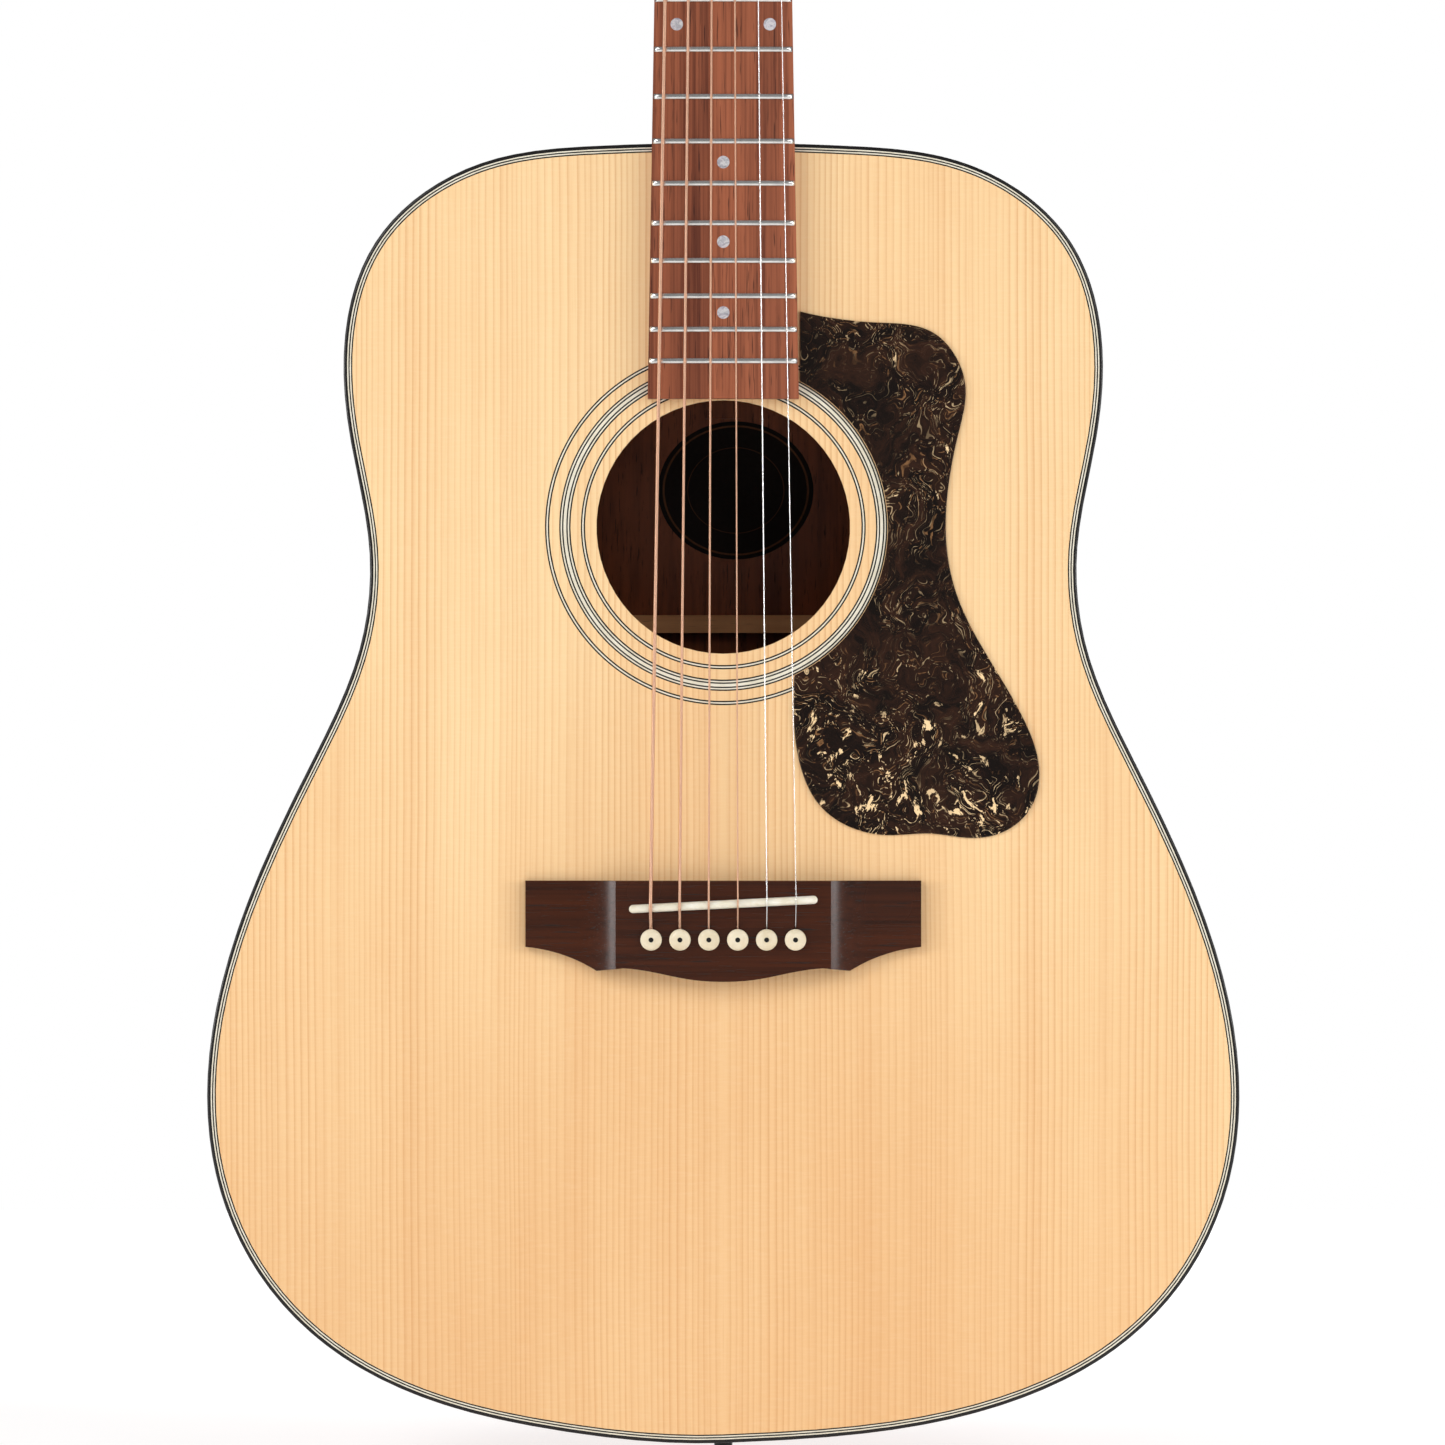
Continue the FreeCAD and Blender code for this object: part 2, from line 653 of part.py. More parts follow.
def string_corners(number):
    """The corners of a string's line, from its ball end to the tangent point on its post."""
    radius = STRING_RADII[number - 1]
    x_pin, z_pin = string_x_at_pins(number), pin_string_z(number)
    x_saddle = SADDLE_SPACING * (3.5 - number)
    saddle_top = crown_depth(x_saddle) - radius - 0.1
    under_plate = TOP_THICKNESS + BRIDGE_PLATE_THICKNESS
    ball = at(x_pin, under_plate + BALL_RADIUS + 0.35, PIN_Z + BALL_RADIUS + 2.4)
    turn = at(x_pin, under_plate + 0.5, z_pin)
    mouth = at(x_pin, PIN_CORNER_DEPTH, z_pin)
    saddle_corner = at(x_saddle, saddle_top, saddle_point(x_saddle))
    return [ball, turn, mouth, saddle_corner, string_nut_corner(number), post_tangent(number)]


# ---------------------------------------------------------------- headstock frame
TILT = math.radians(HEAD_TILT)
HEAD_UP = Vector(0, math.sin(TILT), math.cos(TILT))
HEAD_BACK = Vector(0, math.cos(TILT), -math.sin(TILT))
HEAD_ORIGIN = at(0, OVERLAY_START_DEPTH, NUT_Z + NUT_THICKNESS)
HEAD_THICKNESS = OVERLAY_THICKNESS + HEAD_WOOD


def on_head(u, v, n):
    """A point of the headstock: across, up from the nut, and back from its face."""
    return HEAD_ORIGIN + Vector(u, 0, 0) + HEAD_UP * v + HEAD_BACK * n


def head_half_width(v):
    """Half of the headstock's width above its shoulders."""
    return HEAD_SHOULDER_HALF + (HEAD_TOP_HALF - HEAD_SHOULDER_HALF) * v / HEAD_LENGTH


def tuner_side(number):
    """1 for the treble strings' tuners, -1 for the bass strings' ones."""
    return 1 if number <= 3 else -1


def post_place(number):
    """(u, v) of a string's post; the outer strings go to the posts nearest the nut."""
    row = {1: 0, 2: 1, 3: 2, 4: 2, 5: 1, 6: 0}[number]
    v = POST_V[row]
    return tuner_side(number) * (head_half_width(v) - POST_EDGE), v


STRING_POST_HEIGHT = 5.0
STRING_POST_GAP = 0.3
WRAP_DEGREES = 200.0


def string_nut_corner(number):
    """Where a string turns over the nut."""
    x = NUT_SPACING * (3.5 - number)
    return at(x, frets_plane(x) - NUT_ACTION - STRING_RADII[number - 1], NUT_Z + 1.0)


def wrap_radius(number):
    """Radius of a string's turn round its post, clear of the turning post by a small gap."""
    return POST_WAIST + STRING_RADII[number - 1] + STRING_POST_GAP


def post_tangent(number):
    """Where a string meets its post, on the side nearest the middle of the head."""
    u, v = post_place(number)
    away = string_nut_corner(number) - HEAD_ORIGIN
    du, dv = away.x - u, away.dot(HEAD_UP) - v
    distance = math.hypot(du, dv)
    swing = tuner_side(number) * -math.acos(wrap_radius(number) / distance)
    heading = math.atan2(dv, du) + swing
    reach = wrap_radius(number)
    return on_head(u + reach * math.cos(heading), v + reach * math.sin(heading), -STRING_POST_HEIGHT)


def wrap_arc(number):
    """The part turn that a string makes round its post before the windings on the post take over."""
    tangent = post_tangent(number)
    u, v = post_place(number)
    centre = on_head(u, v, -STRING_POST_HEIGHT)
    out = tangent - centre
    reach = out.Length
    out.normalize()
    along = (tangent - string_nut_corner(number)).normalize()

    def p(degrees):
        angle = math.radians(degrees)
        return centre + out * (reach * math.cos(angle)) + along * (reach * math.sin(angle))

    return Part.Arc(p(0), p(WRAP_DEGREES / 2), p(WRAP_DEGREES)).toShape()


def rounded_path(points, radii, ending):
    """A wire through the points with an arc of a given radius at each inner corner, then the ending."""
    edges = []
    last = points[0]
    for i in range(1, len(points) - 1):
        before = (points[i - 1] - points[i]).normalize()
        after = (points[i + 1] - points[i]).normalize()
        half_turn = (math.pi - before.getAngle(after)) / 2
        back = radii[i - 1] * math.tan(half_turn)
        start, end = points[i] + before * back, points[i] + after * back
        bisector = (before + after).normalize()
        middle = points[i] + bisector * (radii[i - 1] / math.cos(half_turn) - radii[i - 1])
        edges.append(Part.makeLine(last, start))
        edges.append(Part.Arc(start, middle, end).toShape())
        last = end
    edges += [Part.makeLine(last, points[-1]), ending]
    return Part.Wire(edges)


BALL_BEND = 1.2
PIN_BEND = 1.6
NUT_BEND = 4.0


def string_path(number):
    """The centre line of a string."""
    radius = STRING_RADII[number - 1]
    corners = string_corners(number)
    saddle_bend = SADDLE_THICKNESS / 2 + radius
    # The crown's arc touches its bisector point, so the corner stands off by the arc's own sagitta.
    bends = [BALL_BEND, PIN_BEND, saddle_bend, NUT_BEND]
    return rounded_path(lifted(corners, 3, saddle_bend), bends, wrap_arc(number))


def lifted(points, i, bend):
    """The points with corner i moved out so that its arc's middle passes through it."""
    before = (points[i - 1] - points[i]).normalize()
    after = (points[i + 1] - points[i]).normalize()
    half_turn = (math.pi - before.getAngle(after)) / 2
    out = (before + after).normalize() * -(bend / math.cos(half_turn) - bend)
    return points[:i] + [points[i] + out] + points[i + 1:]



def string_sweep(number, radius):
    """A round section swept along a string's line."""
    path = string_path(number)
    start = path.Edges[0].valueAt(path.Edges[0].FirstParameter)
    heading = path.Edges[0].tangentAt(path.Edges[0].FirstParameter)
    circle = Part.Wire([Part.makeCircle(radius, start, heading)])
    return path.makePipeShell([circle], True, True)



def string(number):
    """A string with its ball end, which lies under the bridge plate in front of the pin."""
    centre = string_corners(number)[0]
    start = centre - Vector(BALL_LENGTH / 2, 0, 0)
    ball = Part.makeCylinder(BALL_RADIUS, BALL_LENGTH, start, Vector(1, 0, 0))
    return fuse([string_sweep(number, STRING_RADII[number - 1]), ball])


def bridge():
    """The rosewood bridge with its saddle slot, pin holes and string ramps."""
    shape = Part.Face(bridge_wire(0)).extrude(Vector(0, -BRIDGE_HEIGHT, 0))
    slot = saddle_blank(-BRIDGE_HEIGHT - 1, -BRIDGE_HEIGHT + SADDLE_SLOT_DEPTH)
    cutters = [wing_scoop(1), wing_scoop(-1), slot] + [pin_cone(n, 0) for n in range(1, 7)]
    shape = shape.cut(cutters)
    for n in range(1, 7):
        shape = shape.cut(string_ramp(n))
    return shape


def string_ramp(number):
    """The slot from the front of a pin hole up to the top of the bridge."""
    radius = STRING_RADII[number - 1] + 0.12
    mouth, crown = string_corners(number)[2:4]
    x = string_x_at_pins(number)
    slope = (crown.y - mouth.y) / (crown.z - mouth.z)
    z0, z1 = PIN_Z, PIN_Z + 7.0
    d_at = mouth.y - FACE_Y

    def floor(z):
        return d_at + slope * (z - mouth.z) + radius + 0.25

    profile = [(floor(z0) + 0.6, z0), (floor(z0) + 0.6, mouth.z), (floor(z1), z1), (-BRIDGE_HEIGHT - 2, z1),
               (-BRIDGE_HEIGHT - 2, z0)]
    return prism_x(profile, x - radius, x + radius)


def bridge_pin(number):
    """A pin with a domed head and a slot down its front for the string."""
    x = string_x_at_pins(number)
    collar = -BRIDGE_HEIGHT - 0.6
    head = [(0, collar + 0.3), (PIN_TOP_RADIUS, collar + 0.3), (PIN_TOP_RADIUS + 0.3, collar - 0.35),
            (PIN_HEAD_RADIUS, collar - 0.75), (PIN_HEAD_RADIUS, collar - 1.5),
            (PIN_HEAD_RADIUS - 0.5, collar - 2.1), (PIN_HEAD_RADIUS - 1.5, collar - 2.6), (1.2, collar - 2.9),
            (0, collar - 2.95)]
    shank = pin_cone(number, 0).cut(rod(x, PIN_Z, 6, collar + PIN_LENGTH - 1, 30))
    shape = fuse([shank, revolved_y(head, x, PIN_Z)])
    radius = STRING_RADII[number - 1] + 0.12
    groove_floor = pin_string_z(number) - radius
    groove = box(x - radius, x + radius, collar - 0.4, 20, groove_floor, PIN_Z + 6)
    return shape.cut([groove, string_sweep(number, radius), pin_dot_space(number)])


def pin_dot_space(number):
    """The hole for the dark dot in a pin's head."""
    top = -BRIDGE_HEIGHT - 0.6 - 2.95
    return rod(string_x_at_pins(number), PIN_Z, 0.95, top - 1, top + 1.2)


def pin_dot(number):
    """The dark dot in a pin's head."""
    top = -BRIDGE_HEIGHT - 0.6 - 2.95
    return rod(string_x_at_pins(number), PIN_Z, 0.95, top - 0.05, top + 1.2)


GUARD_BEVEL = 0.4
GUARD_THICKNESS = 1.0
GUARD_HOLE_RADIUS = 63.5
GUARD_EDGE_X = 29.6
GUARD_POINTS = [
    (GUARD_EDGE_X, 436.2), (44, 433.4), (58, 432.0), (71, 431.2), (81, 428.0), (89.5, 419.0), (93.4, 407),
    (90.6, 389), (86.8, 369), (85.8, 350), (90.0, 327), (103.0, 301.4), (115.8, 279), (121.8, 259),
    (118.6, 245.0), (108.6, 235.9), (95, 233.3), (80, 235.0), (63, 234.4), (49.6, 237.2), (37.5, 245.5),
    (30.0, 260.0), (27.2, 279.0), (27.4, 296.6),
]


def pickguard():
    """The guard: a free curve outside, the sound hole's circle inside, a straight edge at the fretboard."""
    outer = Part.BSplineCurve()
    outer.interpolate([at(x, 0, z) for x, z in GUARD_POINTS])
    low_x, low_z = GUARD_POINTS[-1]
    high_z = HOLE_Z + math.sqrt(GUARD_HOLE_RADIUS ** 2 - GUARD_EDGE_X ** 2)
    foot = (low_x, HOLE_Z - math.sqrt(GUARD_HOLE_RADIUS ** 2 - low_x ** 2))
    edges = [outer.toShape()]
    if abs(foot[1] - low_z) > 0.01:
        edges.append(Part.makeLine(at(low_x, 0, low_z), at(foot[0], 0, foot[1])))
    edges.append(Part.Arc(at(foot[0], 0, foot[1]), at(GUARD_HOLE_RADIUS, 0, HOLE_Z),
                          at(GUARD_EDGE_X, 0, high_z)).toShape())
    edges.append(Part.makeLine(at(GUARD_EDGE_X, 0, high_z), at(GUARD_EDGE_X, 0, GUARD_POINTS[0][1])))
    shape = Part.Face(Part.Wire(edges)).extrude(Vector(0, -GUARD_THICKNESS, 0))
    front = [e for e in shape.Edges if e.BoundBox.YMax < FACE_Y - GUARD_THICKNESS + 0.01]
    outer_edge = max(front, key=lambda e: e.Length)
    return shape.makeChamfer(GUARD_BEVEL, [outer_edge])


def strap_button():
    """The tapered end pin with a collar, the waist that a strap sits on, and a rim that keeps it there."""
    profile = [(0, 16), (4.02, 16), (4.56, 0), (5.8, 0), (5.8, -1.6), (STRAP_WAIST_RADIUS, -2.6),
               (STRAP_WAIST_RADIUS, -8.6), (6.3, -10.2), (PIN_RIM_RADIUS, PIN_RIM_TOP),
               (PIN_RIM_RADIUS, PIN_RIM_TOP - PIN_RIM_LENGTH), (6.3, -13.9), (3.6, -14.3), (0, -14.4)]
    wire = polygon([Vector(r, 0, z) for r, z in profile])
    return Part.Face(wire).revolve(Vector(0, 0, 0), Vector(0, 0, 1), 360)


# ---------------------------------------------------------------- fretboard, frets, nut
def fret_z(number):
    """Height of a fret."""
    return NUT_Z - SCALE_LENGTH * (1 - 2 ** (-number / 12))


def board_half_width(z):
    """Half of the fretboard's width at a height."""
    share = (NUT_Z - z) / (NUT_Z - FRETBOARD_END_Z)
    return (NUT_WIDTH + (FRETBOARD_END_WIDTH - NUT_WIDTH) * share) / 2


def board_blank(d0, d1, z0, z1, inset=0.0):
    """A tapered slab of the fretboard's outline."""
    a, b = board_half_width(z0) - inset, board_half_width(z1) - inset
    return prism_y([(-a, z0), (a, z0), (b, z1), (-b, z1)], d0, d1)


def radius_cylinder(height, z0, z1):
    """The cylinder whose front is a height above the fretboard's middle line."""
    top = -FRETBOARD_THICKNESS - height
    centre = at(0, top + FRETBOARD_RADIUS + height, z0)
    return Part.makeCylinder(FRETBOARD_RADIUS + height, z1 - z0, centre, Vector(0, 0, 1))


def fret_profile(number, width, tang_depth, height):
    """The section of a fret wire at the middle of the board, crown and tang."""
    z = fret_z(number)
    top = -FRETBOARD_THICKNESS
    half, tang = width / 2, FRET_TANG_WIDTH / 2
    points = [at(0, top, z - half), at(0, top, z - tang), at(0, top + tang_depth, z - tang),
              at(0, top + tang_depth, z + tang), at(0, top, z + tang), at(0, top, z + half)]
    edges = [Part.makeLine(points[i], points[i + 1]) for i in range(5)]
    edges.append(Part.Arc(points[-1], at(0, top - height, z), points[0]).toShape())
    return Part.Face(Part.Wire(edges))


def fret(number):
    """One fret, bent to the fretboard's radius, its ends bevelled."""
    z = fret_z(number)
    half = board_half_width(z) - 0.25
    reach = math.degrees((half + 1) / FRETBOARD_RADIUS)
    axis_point = at(0, -FRETBOARD_THICKNESS + FRETBOARD_RADIUS, z)
    profile = fret_profile(number, FRET_WIDTH, FRET_TANG_DEPTH, FRET_HEIGHT)
    profile.rotate(axis_point, Vector(0, 0, 1), -reach)
    bent = profile.revolve(axis_point, Vector(0, 0, 1), 2 * reach)
    edge = -FRETBOARD_THICKNESS + half * half / (2 * FRETBOARD_RADIUS)
    keep = [(-half, 0), (half, 0), (half, edge), (half - 0.8, edge - 1.6), (0.8 - half, edge - 1.6),
            (-half, edge)]
    wire = polygon([at(x, d, z - 3) for x, d in keep])
    return bent.common(Part.Face(wire).extrude(Vector(0, 0, 6)))


def dot_places():
    """(x, z) of the fretboard's dots: one in each marked space, two at the octave."""
    places = []
    for number in (3, 5, 7, 9, 15, 17, 19):
        places.append((0.0, (fret_z(number) + fret_z(number - 1)) / 2))
    octave = (fret_z(12) + fret_z(11)) / 2
    return places + [(-17.9, octave), (17.9, octave)]


def dots(length):
    """The fretboard's dots, flush with its curved face."""
    discs = []
    for x, z in dot_places():
        disc = rod(x, z, DOT_RADIUS, -FRETBOARD_THICKNESS - 1, -FRETBOARD_THICKNESS + length)
        discs.append(disc.common(radius_cylinder(0, z - 5, z + 5)))
    return discs


def side_dots():
    """The small dots in the bass edge of the fretboard."""
    discs = []
    for number in (3, 5, 7, 9, 12, 15, 17):
        z = (fret_z(number) + fret_z(number - 1)) / 2
        offsets = (-4.0, 4.0) if number == 12 else (0.0,)
        for offset in offsets:
            x = -board_half_width(z + offset)
            discs.append(Part.makeCylinder(SIDE_DOT_RADIUS, SIDE_DOT_LENGTH, at(x + 0.06, -3.4, z + offset),
                                           Vector(1, 0, 0)))
    return discs


def fretboard(fret_shapes, dot_shapes):
    """The board: tapered, arched across, slotted for the frets and bored for the dots."""
    blank = board_blank(-FRETBOARD_THICKNESS - 1, 0, FRETBOARD_END_Z, NUT_Z)
    board = blank.common(radius_cylinder(0, FRETBOARD_END_Z - 1, NUT_Z + 1))
    slots = []
    for number in range(1, FRET_COUNT + 1):
        z = fret_z(number)
        slot = radius_cylinder(2, z - FRET_TANG_WIDTH / 2, z + FRET_TANG_WIDTH / 2)
        floor = radius_cylinder(-FRET_TANG_DEPTH, z - 1, z + 1)
        slots.append(slot.common(box(-40, 40, -12, -2, z - 1, z + 1)).cut(floor))
    return board.cut(slots + dot_shapes)


def nut():
    """The bone nut, its top falling away behind and cut with six slots."""
    crest = -(FRETBOARD_THICKNESS + FRET_HEIGHT) - NUT_ACTION - 0.55
    top = NUT_Z + NUT_THICKNESS
    profile = [(0, NUT_Z), (crest + 0.5, NUT_Z), (crest, NUT_Z + 0.7), (crest + 1.9, top - 0.9),
               (crest + 2.9, top), (0, top)]
    half = NUT_WIDTH / 2
    shape = prism_x(profile, -half, half)
    centre = at(0, crest + FRETBOARD_RADIUS, NUT_Z - 5)
    arch = Part.makeCylinder(FRETBOARD_RADIUS, 20, centre, Vector(0, 0, 1))
    shape = shape.common(arch)
    slots = []
    for n in range(1, 7):
        slots.append(string_sweep(n, STRING_RADII[n - 1] + 0.03))
        x = NUT_SPACING * (3.5 - n)
        radius = STRING_RADII[n - 1] + 0.03
        centre = string_nut_corner(n).y - FACE_Y
        slots.append(box(x - radius, x + radius, centre - 3, centre, NUT_Z - 2, NUT_Z + NUT_THICKNESS + 2))
    return shape.cut(slots)


# ---------------------------------------------------------------- neck
SHAFT_DEPTH_NUT = 14.0
SHAFT_DEPTH_HEEL = 17.0
HEEL_PIVOT_DEPTH = 60.0
HEEL_PIVOT_Z = BODY_LENGTH + 64.0
HEEL_CAP_DEPTH = 98.0
HEEL_CAP_THICKNESS = 2.0
SECTION_STEPS = 12
THROAT_END = 19.0                 # distance above the nut where the headstock's back is flat
THROAT_STEPS = 8


def superellipse(half, depth, power):
    """(x, depth) points round half of a superellipse, from one edge to the other."""
    points = []
    for i in range(SECTION_STEPS + 1):
        t = math.pi * i / SECTION_STEPS
        c, s = math.cos(t), math.sin(t)
        points.append((half * math.copysign(abs(c) ** (2 / power), c), depth * abs(s) ** (2 / power)))
    return points


def section(origin, inward, half, depth, power, wall):
    """A neck section: a rounded back and two straight walls.

    origin is the middle of the line where the rounding starts, inward points to the neck's back,
    and the walls run the other way.
    """
    across = Vector(1, 0, 0)
    curve_points = [origin + across * x + inward * d for x, d in superellipse(half, depth, power)]
    curve = Part.BSplineCurve()
    curve.interpolate(curve_points)
    first, last = curve_points[0], curve_points[-1]
    low_first, low_last = first - inward * wall, last - inward * wall
    edges = [curve.toShape(), Part.makeLine(last, low_last), Part.makeLine(low_last, low_first),
             Part.makeLine(low_first, first)]
    return Part.Wire(edges)


def shaft():
    """The neck between the heel and the nut."""
    into = Vector(0, 1, 0)
    wires = []
    middle = ((HEEL_PIVOT_Z + NUT_Z) / 2, (SHAFT_DEPTH_HEEL + SHAFT_DEPTH_NUT) / 2)
    for z, depth in ((HEEL_PIVOT_Z, SHAFT_DEPTH_HEEL), middle, (NUT_Z, SHAFT_DEPTH_NUT)):
        wires.append(section(at(0, 2.0, z), into, board_half_width(z), depth - 2.0, 2.3, 2.0))
    return Part.makeLoft(wires, True, False)


def heel():
    """The heel: sections swung round the inside of its curve, then straight down to the cap."""
    radius = HEEL_PIVOT_DEPTH - SHAFT_DEPTH_HEEL
    pivot = at(0, HEEL_PIVOT_DEPTH, HEEL_PIVOT_Z)
    wires = []
    for angle in (0.0, 22.5, 45.0, 67.5, 90.0):
        a = math.radians(angle)
        share = angle / 90.0
        toward = Vector(0, -math.cos(a), -math.sin(a))
        half = board_half_width(HEEL_PIVOT_Z) * (1 - share) + 17.5 * share
        depth = 15.0 * (1 - share) + 11.0 * share
        wall = 2.0 + 62.0 * math.sin(a) ** 0.8
        origin = pivot + toward * (radius + depth)
        wires.append(section(origin, toward * -1, half, depth, 2.3, wall))
    for depth_at, half, back_z in ((HEEL_CAP_DEPTH - 16, 15.6, 19.5), (HEEL_CAP_DEPTH + 1, 14.4, 18.0)):
        toward = Vector(0, 0, -1)
        origin = at(0, depth_at, BODY_LENGTH + back_z - 11.0)
        wires.append(section(origin, toward * -1, half, 11.0, 2.3, 64.0))
    block = Part.makeLoft(wires, True, False)
    trim = box(-60, 60, 0, HEEL_CAP_DEPTH - HEEL_CAP_THICKNESS, BODY_LENGTH - 3, HEEL_PIVOT_Z + 1)
    return block, trim


def head_wire(n):
    """The outline of the headstock at a distance back from its face."""
    neck_half = NUT_WIDTH / 2
    bottom, top = head_half_width(17), head_half_width(HEAD_LENGTH)

    def p(u, v):
        return on_head(u, v, n)

    def half(sign):
        low = Part.BSplineCurve()
        flare = [(neck_half, -1.0), (neck_half + 0.9, 3.0), (neck_half + 6.0, 9.0), (bottom - 1.2, 13.0),
                 (bottom, 19.0)]
        low.interpolate([p(sign * u, v) for u, v in flare])
        return low.toShape()

    corner_v = HEAD_LENGTH - HEAD_CORNER
    crown = HEAD_LENGTH + 4.0
    right, left = half(1), half(-1)
    edges = [
        right,
        Part.makeLine(p(bottom, 19.0), p(top, corner_v)),
        Part.Arc(p(top, corner_v), p(top - HEAD_CORNER * 0.29, corner_v + HEAD_CORNER * 0.74),
                 p(top - HEAD_CORNER, HEAD_LENGTH + 0.6)).toShape(),
        Part.Arc(p(top - HEAD_CORNER, HEAD_LENGTH + 0.6), p(0, crown),
                 p(HEAD_CORNER - top, HEAD_LENGTH + 0.6)).toShape(),
        Part.Arc(p(HEAD_CORNER - top, HEAD_LENGTH + 0.6),
                 p(HEAD_CORNER * 0.29 - top, corner_v + HEAD_CORNER * 0.74),
                 p(-top, corner_v)).toShape(),
        Part.makeLine(p(-top, corner_v), p(-bottom, 19.0)),
        left,
        Part.makeLine(p(-neck_half, -1.0), p(neck_half, -1.0)),
    ]
    return Part.Wire(Part.__sortEdges__(edges))


def head_slab(n0, n1):
    """A slab of the headstock between two distances back from its face."""
    return Part.Face(head_wire(n0)).extrude(HEAD_BACK * (n1 - n0))


def throat():
    """The passage from the rounded neck to the flat back of the headstock."""
    low = at(0, 2.0, NUT_Z - 1.0)
    foot = on_head(0, THROAT_END, 4.0)
    wide = head_half_width(THROAT_END)
    wires = [section(at(0, 2.0, NUT_Z - 12), Vector(0, 1, 0), board_half_width(NUT_Z - 12),
                     SHAFT_DEPTH_NUT - 1.9, 2.3, 2.0)]
    for i in range(THROAT_STEPS + 1):
        share = i / THROAT_STEPS
        eased = share * share * (3 - 2 * share)
        tilt = TILT * min(1.0, share * 2)
        inward = Vector(0, math.cos(tilt), -math.sin(tilt))
        half = NUT_WIDTH / 2 * (1 - eased) + wide * eased
        depth = (SHAFT_DEPTH_NUT - 1.6) * (1 - share) + (HEAD_THICKNESS - 4.0) * share
        middle = low * (1 - share) + foot * share
        wires.append(section(middle, inward, half, depth, 2.3 + 5.7 * share * share, 2.0))
    return Part.makeLoft(wires, True, True)


TRUSS_CHANNEL_HALF = 3.1
TRUSS_CHANNEL_DEPTH = 9.4
TRUSS_AXIS_DEPTH = 6.2
TRUSS_START_Z = BODY_LENGTH + 8.0
TRUSS_NUT_Z = NUT_Z + NUT_THICKNESS + 3.0
TRUSS_NUT_LENGTH = 9.0
POCKET_HALF = 5.5


def truss_spaces():
    """The channel for the truss rod and the pocket round its nut."""
    half = TRUSS_CHANNEL_HALF
    channel = box(-half, half, -0.01, TRUSS_CHANNEL_DEPTH, TRUSS_START_Z, TRUSS_NUT_Z)
    pocket = box(-POCKET_HALF, POCKET_HALF, -8, 11.2, NUT_Z + NUT_THICKNESS + 1.5, NUT_Z + NUT_THICKNESS + 20)
    return [channel, pocket]


def tuner_bores():
    """The stepped holes for the tuners' posts and bushings."""
    cuts = []
    for number in range(1, 7):
        u, v = post_place(number)
        cuts.append(Part.makeCylinder(POST_RADIUS + 0.6, 40, on_head(u, v, -2), HEAD_BACK))
        cuts.append(Part.makeCylinder(BUSHING_RADIUS, 9, on_head(u, v, -1), HEAD_BACK))
    return cuts


def neck():
    """The neck: shaft, heel with its dovetail, and the headstock's wood."""
    block, trim = heel()
    body_side = plate(0, -5, BACK_LIMIT)
    heel_shape = block.common(trim).cut(body_side)
    wood = head_slab(OVERLAY_THICKNESS, HEAD_THICKNESS)
    upper_head = wood.cut(box(-60, 60, -30, 30, NUT_Z - 20, NUT_Z))
    front_trim = Part.makeBox(120, 20, 80, Vector(-60, -20, -40))
    front_trim.rotate(Vector(0, 0, 0), Vector(1, 0, 0), -HEAD_TILT)
    front_trim.translate(on_head(0, 20, OVERLAY_THICKNESS))
    neck_end = throat().cut(front_trim)
    neck_end = neck_end.cut(box(-60, 60, -20, 0, NUT_Z - 40, NUT_Z + NUT_THICKNESS))
    dovetail = tenon().cut(box(-40, 40, 0, 90, BODY_LENGTH + 3, FAR))
    body = fuse([shaft(), heel_shape, neck_end, upper_head, dovetail])
    body = body.cut(truss_spaces() + tuner_bores() + headstock_screws())
    return max(body.Solids, key=lambda solid: solid.Volume)


def heel_cap():
    """The dark plate that closes the end of the heel."""
    block, _ = heel()
    slab = box(-60, 60, HEEL_CAP_DEPTH - HEEL_CAP_THICKNESS, HEEL_CAP_DEPTH, BODY_LENGTH - 3, HEEL_PIVOT_Z)
    return block.common(slab).cut(plate(0, -5, BACK_LIMIT))


def headstock_overlay():
    """The dark veneer on the face of the headstock."""
    front = box(-60, 60, -20, 80, NUT_Z + NUT_THICKNESS, FAR + 300)
    return head_slab(0, OVERLAY_THICKNESS).common(front).cut(truss_spaces() + tuner_bores() + cover_screws())


def truss_rod():
    """A steel rod and the bar it works against, joined by a block at each end."""
    z0, z1 = TRUSS_START_Z + 1, TRUSS_NUT_Z - 6
    bar = box(-2.8, 2.8, 0.4, 3.2, z0, z1)
    lower = Part.makeCylinder(2.4, TRUSS_NUT_Z - 0.5 - z0, at(0, TRUSS_AXIS_DEPTH, z0), Vector(0, 0, 1))
    blocks = [box(-2.8, 2.8, 0.4, 8.8, z0, z0 + 12), box(-2.8, 2.8, 0.4, 8.8, z1 - 10, z1)]
    spindle = Part.makeCylinder(1.9, 6.0, at(0, TRUSS_AXIS_DEPTH, TRUSS_NUT_Z - 1), Vector(0, 0, 1))
    return fuse([bar, lower, spindle] + blocks)


